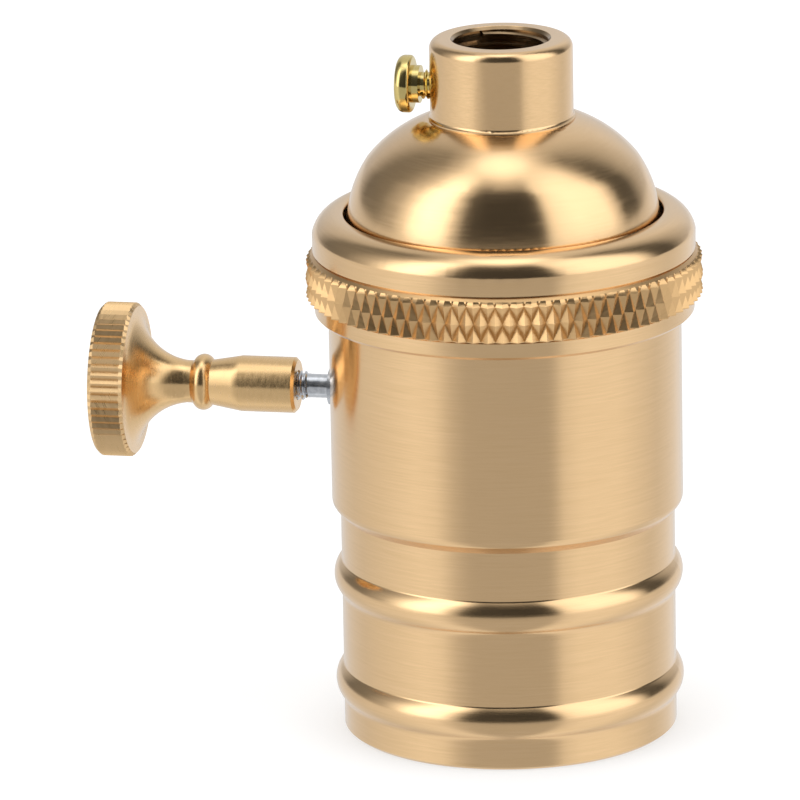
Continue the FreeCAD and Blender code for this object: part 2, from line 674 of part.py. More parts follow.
def switch_shaft():
    blank = turned("shaft_blank", [
        ("0", "-spindle_tail"),
        ("spindle_radius", "-spindle_tail"),
        ("spindle_radius", SHELL_FACE + "spindle_thread_start"),
        ("spindle_thread", SHELL_FACE + "spindle_thread_start"),
        ("spindle_thread", SHELL_FACE + "spindle_thread_end"),
        ("0", SHELL_FACE + "spindle_thread_end"),
    ], key_placement(number("spindle_height")))
    bind(blank, "Placement.Base.z", "spindle_height")
    flat = block("shaft_flat", ("drum_length", "spindle_radius*2", "spindle_radius"),
                 ("-drum_near", "-spindle_radius", "spindle_height + spindle_flat"))
    keep("switch_shaft", cut("switch_shaft", blank, flat))


def shaft_bush():
    bush = turned("shaft_bush", [
        ("spindle_radius + running_gap", "cavity_near"),
        ("bush_radius", "cavity_near"),
        ("bush_radius", "shell_radius - bush_step"),
        ("bush_nose_radius", "shell_radius - bush_step"),
        ("bush_nose_radius", SHELL_FACE + "bush_nose"),
        ("spindle_radius + running_gap", SHELL_FACE + "bush_nose"),
    ], key_placement(number("spindle_height")))
    bind(bush, "Placement.Base.z", "spindle_height")
    keep("shaft_bush", bush)


def switch_rotor():
    drum = peg("drum_blank", "drum_radius", "drum_length", ("-drum_near", "0", "spindle_height"), ALONG_X)
    before = "-drum_near - drum_length*0.1"
    bore = peg("drum_bore", "spindle_radius + fit_gap", "drum_length*1.2", (before, "0", "spindle_height"), ALONG_X)
    key = block("drum_key", ("drum_length*1.2", "spindle_radius*2", "spindle_radius"),
                (before, "-spindle_radius", "spindle_height + spindle_flat + fit_gap"))
    bed = block("drum_bed", ("drum_length", "drum_radius*2.2", "clip_half*2 + fit_gap*2"),
                ("-clip_near", "-drum_radius*1.1", "spindle_height - clip_half - fit_gap"))
    core = peg("drum_core", "drum_radius - clip_sheet - fit_gap", "drum_length*1.2",
               (before, "0", "spindle_height"), ALONG_X)
    keep("switch_rotor", cut("switch_rotor", drum, cut("drum_shaped_bore", bore, key), cut("drum_beds", bed, core)))


def contact_bridge():
    """A brass cup cut down to two bowed strips and the web that joins them round the spindle."""
    reach = "drum_length - drum_near + clip_near"
    start = "-clip_near + fit_gap"
    bar = block("clip_bar", (reach + " - fit_gap + clip_sheet", "drum_radius*2.2", "clip_half*2"),
                (start, "-drum_radius*1.1", "spindle_height - clip_half"))
    barrel = peg("clip_barrel", "drum_radius", reach + " + clip_sheet*2", ("-clip_near", "0", "spindle_height"), ALONG_X)
    inside = peg("clip_inside", "drum_radius - clip_sheet", reach + " + clip_near*0.1",
                 ("-clip_near*1.1", "0", "spindle_height"), ALONG_X)
    bore = peg("clip_bore", "spindle_radius + fit_gap", "drum_length*2", ("0", "0", "spindle_height"), ALONG_X)
    strips = gathered("clip_strips", "Part::MultiCommon", [bar, barrel])
    keep("contact_bridge", cut("contact_bridge", strips, inside, bore))


# Porcelain: two halves that meet at the spindle's height, with the switch cavity between them.


def cavity_cutter(name):
    return block(name, ("cavity_near + cavity_far", "cavity_half*2", "cavity_rise*2"),
                 ("-cavity_near", "-cavity_half", "spindle_height - cavity_rise"))


def bearing_cutters(name):
    """The seat of the bush and the bore of the spindle's tail."""
    bush = peg(name + "_bush_seat", "bush_radius + fit_gap", "core_radius*1.2", ("0", "0", "spindle_height"), ALONG_KEY)
    tail = peg(name + "_tail_bore", "spindle_radius + running_gap", "spindle_tail + tail_gap",
               ("0", "0", "spindle_height"), ALONG_X)
    return [bush, tail]


def upright_drills(name, low, high):
    """The holes for the two assembly screws and the middle rivet."""
    drills = [peg(name + "_rivet_hole", "rivet_radius + fit_gap", high + " - " + low, ("0", "0", low))]
    for side, place in (("near", "-stud_reach"), ("far", "stud_reach")):
        drills.append(peg(name + "_stud_hole_" + side, "stud_radius + stud_gap", high + " - " + low, ("0", place, low)))
    return drills


def porcelain_base():
    blank = turned("base_blank", [
        ("skirt_bore", "skirt_bottom"),
        ("skirt_radius", "skirt_bottom"),
        ("skirt_radius", "ledge"),
        ("flange_reach", "ledge"),
        ("flange_reach", "ledge + flange_depth"),
        ("core_radius", "ledge + flange_depth"),
        ("core_radius", "spindle_height"),
        ("0", "spindle_height"),
        ("0", "cup_floor"),
        ("skirt_bore", "cup_floor"),
    ])
    cutters = [cavity_cutter("base_cavity")] + bearing_cutters("base") + upright_drills(
        "base", "skirt_bottom", "spindle_height")
    keep("porcelain_base", cut("porcelain_base", blank, *cutters))


def porcelain_cover():
    disc = peg("cover_disc", "core_radius", "cover_top - spindle_height", ("0", "0", "spindle_height"))
    rib = block("cover_rib", ("rib_half*2", "rib_width", "cover_top - spindle_height + rib_height"),
                ("-rib_half", "rib_near", "spindle_height"))
    blank = joined("cover_blank", disc, rib)
    cutters = [cavity_cutter("cover_cavity")] + bearing_cutters("cover") + upright_drills(
        "cover", "spindle_height", "shell_height")
    for side, place in (("live", "0"), ("neutral", "stud_reach")):
        cutters.append(peg("cover_screw_hole_" + side, "binder_radius + stud_gap", "binder_depth*1.4",
                           ("binder_place", place, "cover_top - binder_depth*1.2")))
    keep("porcelain_cover", cut("porcelain_cover", blank, *cutters))


def shell_liner():
    foot = "ledge + flange_depth"
    blank = turned("liner_blank", [
        ("liner_radius - liner_wall", foot),
        ("liner_radius", foot),
        ("liner_radius", "shell_height"),
        ("liner_radius - liner_wall", "shell_height"),
    ])
    drill = peg("liner_drill", "shaft_hole_radius", "shell_radius", ("0", "0", "spindle_height"), ALONG_KEY)
    keep("shell_liner", cut("shell_liner", blank, drill))


# Screw shell: thin sheet rolled to the round lamp thread, with a floor that the assembly screws hold.


def rolled_side(offset, low, high):
    """One side of the rolled sheet as two half turns of one smooth surface: a wave that climbs as it goes round."""
    pitch, fade, plain = sizes["lamp_pitch"], sizes["lamp_fade"], number("lamp_plain")
    middle = number("lamp_minor + lamp_depth*0.5")
    swing = sizes["lamp_depth"] / 2
    thread_high = number("lamp_thread_high")
    levels = int(math.ceil((high - low) * LEVELS_PER_PITCH / pitch))
    grid = []
    for step in range(STEPS_PER_TURN + 1):
        angle = 2 * math.pi * step / STEPS_PER_TURN
        line = []
        for level in range(levels + 1):
            height = low + (high - low) * level / levels
            near_end = min(height - sizes["lamp_thread_low"], thread_high - height)
            blend = min(1.0, max(0.0, near_end / fade + 1))
            wave = middle + swing * math.cos(2 * math.pi * height / pitch - angle)
            radius = offset + plain * (1 - blend) + wave * blend
            line.append(V(radius * math.cos(angle), radius * math.sin(angle), height))
        grid.append(line)
    surface = Part.BSplineSurface()
    surface.interpolate(grid)
    first, last, start, stop = surface.bounds()
    half = (first + last) / 2
    return [surface.toShape(first, half, start, stop), surface.toShape(half, last, start, stop)]


def edge_line(faces, height):
    """The closed line where the faces end at a height."""
    level = [edge for face in faces for edge in face.Edges
             if max(abs(corner.Z - height) for corner in edge.Vertexes) < 0.001]
    return Part.Wire(level)


def screw_shell():
    rim, top = sizes["lamp_rim"], number("cup_floor")
    inner_top = top - sizes["lamp_sheet"]
    outside = rolled_side(sizes["lamp_sheet"], rim, top)
    inside = rolled_side(0.0, rim, inner_top)
    reach, hole = number("stud_reach"), number("stud_radius + stud_gap")
    holes = [(number("lamp_floor_hole"), 0, 0), (hole, 0, -reach), (hole, 0, reach)]
    faces = outside + inside
    faces.append(flat_between(edge_line(outside, rim), [edge_line(inside, rim)]))
    for side, height in ((outside, top), (inside, inner_top)):
        rings = [ring_line(radius, across, along, height) for radius, across, along in holes]
        faces.append(flat_between(edge_line(side, height), rings))
    for radius, across, along in holes:
        faces.append(Part.makeCylinder(radius, top - inner_top, V(across, along, inner_top)).Faces[0])
    sheet_metal = doc.addObject("Part::Feature", "screw_shell")
    sheet_metal.Shape = closed(faces)
    keep("screw_shell", sheet_metal)


# Contacts and their fixings.


def centre_contact():
    foot = "cup_floor - strip"
    fold = "cup_floor - tongue_fold"
    strip = pressed("tongue_strip", "XZ_Plane", [
        ("-tongue_back", foot),
        ("tongue_front", foot),
        ("tongue_front", fold + " + strip", "tongue_fold*0.52 - strip", "right"),
        ("0", "tongue_tip + strip"),
        ("-tongue_back", "tongue_tip + strip + tongue_rise"),
        ("-tongue_back", "tongue_tip + tongue_rise"),
        ("0", "tongue_tip"),
        ("tongue_front", fold),
        ("tongue_front", "cup_floor", "tongue_fold*0.52", "left"),
        ("-tongue_back", "cup_floor"),
    ], "tongue_half")
    drill = peg("tongue_drill", "rivet_radius + fit_gap", "strip*3", ("0", "0", foot + " - strip"))
    keep("centre_contact", cut("centre_contact", strip, drill))


def rivet(name, low, high):
    """A riveted pin whose heads lie outside low and high."""
    keep(name, turned(name, [
        ("0", low + " - rivet_head"),
        ("rivet_head_radius*0.7", low + " - rivet_head"),
        ("rivet_head_radius", low + " - rivet_head*0.5"),
        ("rivet_head_radius", low),
        ("rivet_radius", low),
        ("rivet_radius", high),
        ("rivet_head_radius", high),
        ("rivet_head_radius", high + " + rivet_head*0.5"),
        ("rivet_head_radius*0.7", high + " + rivet_head"),
        ("0", high + " + rivet_head"),
    ]))


def leaf(name, turn):
    """A leaf spring: its foot lies under a rivet, and its blade stands beside the drum."""
    face = "drum_radius + leaf_gap"
    back = "drum_radius + leaf_gap + leaf_thickness"
    strip = pressed(name + "_strip", "YZ_Plane", [
        ("-leaf_back", "-cavity_rise"),
        (back + " - leaf_bend", "-cavity_rise"),
        (back, "leaf_bend - cavity_rise", "leaf_bend", "left"),
        (back, "leaf_reach"),
        (face, "leaf_reach"),
        (face, "leaf_bend - cavity_rise"),
        (back + " - leaf_bend", "leaf_thickness - cavity_rise", "leaf_bend - leaf_thickness", "right"),
        ("-leaf_back", "leaf_thickness - cavity_rise"),
    ], "leaf_half")
    hole = peg(name + "_hole", "rivet_radius + fit_gap", "leaf_bend*2", ("0", "0", "-cavity_rise - leaf_bend"))
    item = cut(name, strip, hole)
    item.Placement = FreeCAD.Placement(V(), turn)
    keep(name, place_at(item, ("0", "0", "spindle_height")))


def terminal(name, middle, hole):
    """A brass plate with a turned-up end that keeps the wire under its screw."""
    edge = middle + " - plate_half"
    deck = block(name + "_deck", ("plate_back + plate_front", "plate_half*2", "plate"),
                 ("-plate_back", edge, "cover_top"))
    tab = block(name + "_tab", ("plate", "plate_half*2", "plate_tab"), ("plate_front - plate", edge, "cover_top"))
    first = peg(name + "_first_hole", hole, "plate*3", ("0", middle, "cover_top - plate"))
    second = peg(name + "_screw_hole", "binder_radius + screw_gap", "plate*3",
                 ("binder_place", middle, "cover_top - plate"))
    keep(name, cut(name, joined(name + "_blank", deck, tab), first, second))


def slotted_screw(name, head_radius, head, radius, under, tip, at, down):
    """A screw with a domed head. under is the face that its head rests on, and at is its axis."""
    way = " - " if down else " + "
    side = "right" if down else "left"
    blank = turned(name + "_blank", [
        ("0", tip),
        (radius, tip),
        (radius, under),
        (head_radius, under),
        (head_radius, under + way + head + "*0.4"),
        ("0", under + way + head, head_radius + "*1.8", side),
    ])
    place_at(blank, (at[0], at[1], "0"))
    low = under + way + head + (" - slot_depth" if not down else " - slot_depth*0.5")
    tall = "slot_depth*1.5" if down else "slot_depth*2"
    slot = block(name + "_slot", (head_radius + "*2.2", "slot_width", tall),
                 (at[0] + " - " + head_radius + "*1.1", at[1] + " - slot_width*0.5", low))
    return cut(name, blank, slot)


def fixings():
    plate_top = "cover_top + plate"
    binders = []
    for side, across in (("live", "0"), ("neutral", "stud_reach")):
        binders.append(slotted_screw("binder_" + side, "binder_head_radius", "binder_head", "binder_radius",
                                     plate_top, "cover_top - binder_depth", ("binder_place", across), False))
    keep("terminal_screws", gathered("terminal_screws", "Part::Compound", binders))
    studs = []
    nuts = []
    for side, across, seat in (("near", "-stud_reach", "cover_top"), ("far", "stud_reach", plate_top)):
        studs.append(slotted_screw("stud_" + side, "stud_head_radius", "stud_head", "stud_radius",
                                   "cup_floor - lamp_sheet", seat + " + nut_height + stud_past",
                                   ("0", across), True))
        hexagon = doc.addObject("Part::Prism", "nut_blank_" + side)
        hexagon.Polygon = 6
        bind(hexagon, "Circumradius", "nut_radius")
        bind(hexagon, "Height", "nut_height")
        place_at(hexagon, ("0", across, seat))
        thread = peg("nut_thread_" + side, "stud_radius + screw_gap", "nut_height*2",
                     ("0", across, seat + " - nut_height*0.5"))
        nuts.append(cut("nut_" + side, hexagon, thread))
    keep("assembly_screws", gathered("assembly_screws", "Part::Compound", studs))
    keep("assembly_nuts", gathered("assembly_nuts", "Part::Compound", nuts))


outer_shell()
knurled_ring()
cap_dome()
neck_collar()
set_screw()
knob()
switch_shaft()
shaft_bush()
switch_rotor()
contact_bridge()
porcelain_base()
porcelain_cover()
shell_liner()
screw_shell()
centre_contact()
rivet("centre_rivet", "cup_floor - strip", "spindle_height - cavity_rise + leaf_thickness")
rivet("live_rivet", "spindle_height + cavity_rise - leaf_thickness", "cover_top + plate")
leaf("lower_leaf", FreeCAD.Rotation())
leaf("upper_leaf", FreeCAD.Rotation(V(1, 0, 0), 180))
terminal("live_terminal", "0", "rivet_radius + fit_gap")
terminal("neutral_terminal", "stud_reach", "stud_radius + stud_gap")
fixings()

doc.recompute()

# Every object has to be sound before anything is written.
for item in doc.Objects:
    if "Invalid" in item.State or "Error" in item.State:
        raise RuntimeError("%s failed: %s" % (item.Name, item.State))
for name, item in nodes.items():
    if item.Shape.isNull() or not item.Shape.isValid():
        raise RuntimeError("%s has no sound shape" % name)

os.makedirs("parts", exist_ok=True)
for name, item in nodes.items():
    item.Shape.exportStep("parts/%s.step" % name)
    print("%-18s %2d solids %9.2f mm3" % (name, len(item.Shape.Solids), item.Shape.Volume))
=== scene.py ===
# %% [markdown]
# This scene dresses a brass lamp holder: a screw-in socket with a turning key,
# a knurled ring, a domed cap and a threaded neck with a set screw. The exact
# solids already exist, so the scene loads them as a frame, gives each one the
# finish of its real metal or ceramic, adds the fine work that a solid model
# leaves out, and lights the whole like a small product table.

# %% Load the frame
import bpy
import bmesh
import json
import math
from mathutils import Matrix, Vector


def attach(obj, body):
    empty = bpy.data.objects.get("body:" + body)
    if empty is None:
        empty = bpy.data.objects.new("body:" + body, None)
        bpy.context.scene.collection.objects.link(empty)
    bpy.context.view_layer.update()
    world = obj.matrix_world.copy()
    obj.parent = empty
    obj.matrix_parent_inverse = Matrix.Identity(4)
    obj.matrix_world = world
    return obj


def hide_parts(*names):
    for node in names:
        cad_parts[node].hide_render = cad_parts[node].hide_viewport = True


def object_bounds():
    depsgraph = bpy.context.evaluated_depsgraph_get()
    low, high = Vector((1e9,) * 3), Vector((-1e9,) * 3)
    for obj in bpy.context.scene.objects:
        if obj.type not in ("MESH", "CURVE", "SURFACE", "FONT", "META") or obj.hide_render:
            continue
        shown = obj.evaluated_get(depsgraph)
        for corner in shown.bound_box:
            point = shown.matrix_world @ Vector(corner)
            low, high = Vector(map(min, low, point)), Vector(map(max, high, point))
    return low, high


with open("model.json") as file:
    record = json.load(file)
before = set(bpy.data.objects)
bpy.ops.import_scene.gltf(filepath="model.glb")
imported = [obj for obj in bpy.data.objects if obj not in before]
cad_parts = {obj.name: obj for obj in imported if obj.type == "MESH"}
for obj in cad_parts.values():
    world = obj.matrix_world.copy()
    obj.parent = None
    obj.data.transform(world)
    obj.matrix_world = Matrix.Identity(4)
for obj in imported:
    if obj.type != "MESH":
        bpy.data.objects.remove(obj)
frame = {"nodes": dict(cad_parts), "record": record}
cad_low, cad_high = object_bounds()
nodes = frame["nodes"]

# %% [markdown]
# Blender measures in metres, but a lamp holder is drawn in millimetres, so one
# constant turns the drawing's numbers into the scene's.

# %% Units
MM = 0.001
print("the object is", [round(c / MM, 1) for c in cad_high - cad_low], "mm")

# %% [markdown]
# Colours are written as the hex values that a paint program shows. Blender
# shades in linear light, so one function turns a hex value into linear
# numbers. It is used for every colour in the scene, which keeps them all
# comparable.

# %% Colour function
def colour(hex_value):
    """A hex colour such as 'E0C088' as linear red, green, blue and alpha."""
    parts = [int(hex_value[i:i + 2], 16) / 255 for i in (0, 2, 4)]
    linear = [p / 12.92 if p <= 0.04045 else ((p + 0.055) / 1.055) ** 2.4 for p in parts]
    return (*linear, 1.0)


WHITE = colour("FFFFFF")
print("a middle grey, 808080, is", round(colour("808080")[0], 3), "in linear light")

# %% [markdown]
# A shader is a tree of small nodes. Writing one out means adding a node,
# setting its options, and either linking or filling in each input. One
# function does just that: an input given as a socket is linked, and anything
# else becomes the value on the socket. Inputs that share one name go by their
# number, as the two of a Math node do. A Mix node has a set of sockets for each
# kind of value, so the numbers of its colour sockets get names here.

# %% Node function
MIX_FACTOR, MIX_A, MIX_B, MIX_RESULT = 0, 6, 7, 2


def add(tree, kind, inputs=None, **settings):
    """Adds a node to a tree with its settings, and links or fills its inputs."""
    node = tree.nodes.new(kind)
    for name, value in settings.items():
        setattr(node, name, value)
    for name, value in (inputs or {}).items():
        if isinstance(value, bpy.types.NodeSocket):
            tree.links.new(value, node.inputs[name])
        else:
            node.inputs[name].default_value = value
    return node

# %% [markdown]
# A ramp turns a number into a grey level or a colour, and it is set by its
# stops. This helper fills a ramp node's stops, so that a table of readings can
# be written down as plain pairs.

# %% Ramp stops
def set_stops(node, stops):
    """Fills a ramp with (position, colour) stops; a plain number is a grey."""
    ramp = node.color_ramp
    while len(ramp.elements) > 1:
        ramp.elements.remove(ramp.elements[-1])
    for i, (place, value) in enumerate(stops):
        stop = ramp.elements[0] if i == 0 else ramp.elements.new(place)
        stop.position = place
        stop.color = value if isinstance(value, tuple) else (value, value, value, 1.0)
    return node.outputs["Color"]

# %% [markdown]
# ## The camera
# Product pictures of small things are taken from a little above with a long
# lens, which keeps upright edges upright. The camera stands 0.87 m away, about
# ten degrees to the right of the front and sixteen degrees up. The lens is
# aimed a little beside the object, and the camera is turned on its own axis by
# less than a degree, as a hand-held one is.

# %% Camera
CAMERA_AZIMUTH = math.radians(10.28)
CAMERA_HEIGHT = math.radians(15.99)
CAMERA_DISTANCE = 0.8732
CAMERA_ROLL = math.radians(-0.857)
FOCAL_LENGTH, SENSOR_WIDTH = 389.7, 36.0
AIM_HEIGHT = 35.44 * MM
# how far the lens is aimed to the right and up, for each unit of distance
AIM_RIGHT, AIM_UP = 0.01222769, 0.00192088

aim = Vector((0, 0, AIM_HEIGHT))
away = Vector((math.sin(CAMERA_AZIMUTH) * math.cos(CAMERA_HEIGHT),
               -math.cos(CAMERA_AZIMUTH) * math.cos(CAMERA_HEIGHT),
               math.sin(CAMERA_HEIGHT)))
lens = bpy.data.cameras.new("camera")
lens.lens = FOCAL_LENGTH
lens.sensor_width = SENSOR_WIDTH
lens.clip_start = 0.05
lens.clip_end = 20.0
camera = bpy.data.objects.new("camera", lens)
bpy.context.scene.collection.objects.link(camera)
camera.location = aim + away * CAMERA_DISTANCE
straight = (-away).to_track_quat("-Z", "Y")
rolled = straight @ Matrix.Rotation(CAMERA_ROLL, 3, "Z").to_quaternion()
beside = Vector((AIM_RIGHT, AIM_UP, -1.0))
camera.rotation_mode = "QUATERNION"
camera.rotation_quaternion = rolled @ beside.rotation_difference(Vector((0, 0, -1)))
bpy.context.scene.camera = camera
print("camera at", [round(c, 3) for c in camera.location])

# %% [markdown]
# ## The studio
# Brass has hardly any colour of its own to show: it shows what stands around
# it. A product table has a tall soft box on each side, a broad one overhead,
# and nothing but the dark room behind the camera. All three could be lamps,
# but a world shader does the same with less noise: it gives a light level for
# every direction. The direction is turned so that azimuth 0 is the side the
# camera is on, and the levels are two ramps over the azimuth, one above the
# table and one below it, plus the overhead box.

# %% Studio directions
world = bpy.data.worlds.new("product table studio")
bpy.context.scene.world = world
world.use_nodes = True
sky = world.node_tree
sky.nodes.clear()
direction = add(sky, "ShaderNodeTexCoord").outputs["Generated"]
turned = add(sky, "ShaderNodeVectorRotate", {"Vector": direction, "Angle": -CAMERA_AZIMUTH},
             rotation_type="Z_AXIS").outputs["Vector"]
split = add(sky, "ShaderNodeSeparateXYZ", {"Vector": turned}).outputs
flipped = add(sky, "ShaderNodeMath", {0: split["Y"], 1: -1.0},
              operation="MULTIPLY").outputs[0]
around = add(sky, "ShaderNodeMath", {0: split["X"], 1: flipped},
             operation="ARCTAN2").outputs[0]
upward = add(sky, "ShaderNodeMath", {0: split["Z"]}, operation="ARCSINE").outputs[0]
# both directions run from 0 to 1 along their ramps
azimuth = add(sky, "ShaderNodeMapRange", {
    "Value": around, "From Min": -math.pi, "From Max": math.pi}).outputs["Result"]
height = add(sky, "ShaderNodeMapRange", {
    "Value": upward, "From Min": 0.0, "From Max": math.pi / 2}).outputs["Result"]
print("studio directions ready")

# %% [markdown]
# The levels are written in degrees from the camera's side, left negative. The
# left box fades at both edges, the right one has a crisp front edge, as a box
# with its cloth edge turned to the object has. Below the table line, the metal
# sees the pale table, which is dimmer in front, where neither box lights it.
# A ramp only goes up to 1, so each level is divided by the brightest one, and
# the world's strength brings it back.

# %% Studio levels
BRIGHTEST = 2.5
UPPER = [(-180, 0.75), (-150, 0.60), (-134, 0.20), (-112, 0.25), (-92, 0.60), (-80, 1.20),
         (-74, 1.90), (-62, 2.30), (-48, 2.00), (-40, 0.95), (-31, 0.14), (-24, 0.06),
         (28, 0.05), (31, 0.20), (37, 1.15), (45, 1.45), (60, 1.65), (88, 1.60), (97, 0.90),
         (104, 0.10), (120, 0.10), (134, 0.50), (155, 0.80), (180, 0.75)]
LOWER = [(-180, 0.85), (-160, 0.88), (-120, 0.84), (-90, 0.98), (-62, 1.12), (-48, 1.06),
         (-36, 0.76), (-26, 0.63), (28, 0.62), (32, 0.72), (37, 0.98), (50, 1.12),
         (78, 1.12), (92, 1.02), (115, 0.86), (150, 1.00), (180, 0.85)]
# the table's far edge is not sharp: the levels change over these few degrees
LINE_LOW, LINE_HIGH = math.radians(-2.5), math.radians(1.5)


def as_stops(table, first, last, top):
    """Ramp stops over the degrees from first to last, from (degrees, level) pairs."""
    return [((a - first) / (last - first), v / top) for a, v in table]


upper_level = set_stops(add(sky, "ShaderNodeValToRGB", {"Fac": azimuth}),
                        as_stops(UPPER, -180, 180, BRIGHTEST))
lower_level = set_stops(add(sky, "ShaderNodeValToRGB", {"Fac": azimuth}),
                        as_stops(LOWER, -180, 180, BRIGHTEST))
table_line = add(sky, "ShaderNodeMapRange", {
    "Value": upward, "From Min": LINE_LOW, "From Max": LINE_HIGH},
    interpolation_type="SMOOTHSTEP").outputs["Result"]
sides = add(sky, "ShaderNodeMix", {
    MIX_FACTOR: table_line, MIX_A: lower_level, MIX_B: upper_level},
    data_type="RGBA").outputs[MIX_RESULT]
print("levels for", len(UPPER), "and", len(LOWER), "directions")

# %% [markdown]
# Towards the top, the side boxes end and the overhead box begins, with a
# dimmer ring between them. Two ramps over the height, in degrees above the
# table line, say how much of the side levels is left and how bright the
# overhead is.

# %% Overhead box
SIDE_SHARE = [(0, 0.86), (22.5, 1.0), (60, 1.0), (70, 0.50), (76, 0.0)]
OVERHEAD = [(0, 0.0), (60, 0.0), (69, 0.40), (75, 1.05), (80, 1.80), (90, 2.10)]
share = set_stops(add(sky, "ShaderNodeValToRGB", {"Fac": height}),
                  as_stops(SIDE_SHARE, 0, 90, 1.0))
top_level = set_stops(add(sky, "ShaderNodeValToRGB", {"Fac": height}),
                      as_stops(OVERHEAD, 0, 90, BRIGHTEST))
side_levels = add(sky, "ShaderNodeMix", {MIX_FACTOR: 1.0, MIX_A: sides, MIX_B: share},
                  data_type="RGBA", blend_type="MULTIPLY").outputs[MIX_RESULT]
levels = add(sky, "ShaderNodeMix", {MIX_FACTOR: 1.0, MIX_A: side_levels, MIX_B: top_level},
             data_type="RGBA", blend_type="ADD").outputs[MIX_RESULT]
print("overhead box up to", OVERHEAD[-1][1])

# %% [markdown]
# The picture behind the object is plain white, so what the camera sees,
# directly or through a clear thing, is a white of strength 1, whatever the
# levels are.

# %% Backdrop white
studio = add(sky, "ShaderNodeBackground", {"Color": levels, "Strength": BRIGHTEST})
plain = add(sky, "ShaderNodeBackground", {"Color": WHITE, "Strength": 1.0})
rays = add(sky, "ShaderNodeLightPath").outputs
seen = add(sky, "ShaderNodeMath", {0: rays["Is Camera Ray"], 1: rays["Is Transmission Ray"]},
           operation="MAXIMUM").outputs[0]
both = add(sky, "ShaderNodeMixShader", {0: seen, 1: studio.outputs[0], 2: plain.outputs[0]})
add(sky, "ShaderNodeOutputWorld", {"Surface": both.outputs[0]})
print("studio world has", len(sky.nodes), "nodes")

# %% [markdown]
# ## The table
# The table is a wide pale disc just under the rim. To the camera it is white
# with the object's shadow on it: a part of its white is given off, and the
# rest is lit and so can be shadowed. Within 12 mm of the rim less is given
# off, so the object sits in a narrow contact shadow. To the metal it is left
# out, because the world below the table line already has its levels,
# direction by direction.

# %% Table top
TABLE_RADIUS, TABLE_DROP = 3.0, 0.05 * MM
table_mesh = bmesh.new()
bmesh.ops.create_circle(table_mesh, cap_ends=True, segments=96, radius=TABLE_RADIUS)
table = bpy.data.objects.new("table", bpy.data.meshes.new("table"))
table_mesh.to_mesh(table.data)
table_mesh.free()
table.data.transform(Matrix.Translation((0, 0, cad_low.z - TABLE_DROP)))
bpy.context.scene.collection.objects.link(table)
print("table at", round(table.data.vertices[0].co.z / MM, 2), "mm")

# %% [markdown]
# The table top is matt white board. Matt means that it throws light evenly to
# all sides, so it has no reflection of the object in it, only the shadow.

# %% Table paint
SHADOW_REACH, CORNER_RAYS = 12 * MM, 8
LIT_GREY = (0.40, 0.40, 0.40, 1.0)
CLOSED, OPEN = 0.4, 0.9      # how free of the object a spot on the table is
GIVEN_NEAR, GIVEN_FAR = 0.62, 0.78
table_paint = bpy.data.materials.new("matt white table top")
table_paint.use_nodes = True
tree = table_paint.node_tree
tree.nodes.clear()
# what the camera sees: the lit part plus the given part, less near the rim
lit = add(tree, "ShaderNodeBsdfDiffuse", {"Color": LIT_GREY})
corner = add(tree, "ShaderNodeAmbientOcclusion", {"Distance": SHADOW_REACH},
             samples=CORNER_RAYS).outputs["AO"]
near_rim = add(tree, "ShaderNodeMapRange", {
    "Value": corner, "From Min": CLOSED, "From Max": OPEN,
    "To Min": GIVEN_NEAR, "To Max": GIVEN_FAR}).outputs["Result"]
given = add(tree, "ShaderNodeEmission", {"Color": WHITE, "Strength": near_rim})
shown = add(tree, "ShaderNodeAddShader", {0: lit.outputs[0], 1: given.outputs[0]})
# what other rays meet: nothing for reflections, a pale board for the rest
bounce = add(tree, "ShaderNodeBsdfDiffuse", {"Color": colour("F2F2F2")})
clear = add(tree, "ShaderNodeBsdfTransparent")
path = add(tree, "ShaderNodeLightPath").outputs
to_light = add(tree, "ShaderNodeMixShader", {
    0: path["Is Glossy Ray"], 1: bounce.outputs[0], 2: clear.outputs[0]})
to_all = add(tree, "ShaderNodeMixShader", {
    0: path["Is Camera Ray"], 1: to_light.outputs[0], 2: shown.outputs[0]})
add(tree, "ShaderNodeOutputMaterial", {"Surface": to_all.outputs[0]})
table.data.materials.append(table_paint)
bpy.context.scene.view_settings.view_transform = "Standard"
print("table paint has", len(tree.nodes), "nodes")

# %% [markdown]
# ## Turned brass
# Every brass piece on the outside comes off a lathe, where it was cut or spun.
# The tool leaves rings round the axis, a few hundredths of a millimetre apart.
# Seen with the whole object, rings that fine would vanish, so they are drawn
# one to three tenths apart, as coarse as they need to show. A noise makes them:
# its coordinates run fast along the profile and slowly round it, so that each
# streak is thin and long. Everything is measured from the piece's own axis:
# the axis crossed with the place gives the direction round it, and the length
# of that is the distance from the axis.

# %% Lathe lines
LINES_LOW, LINES_HIGH = 0.30, 0.70      # where nearly all of the lines' values lie


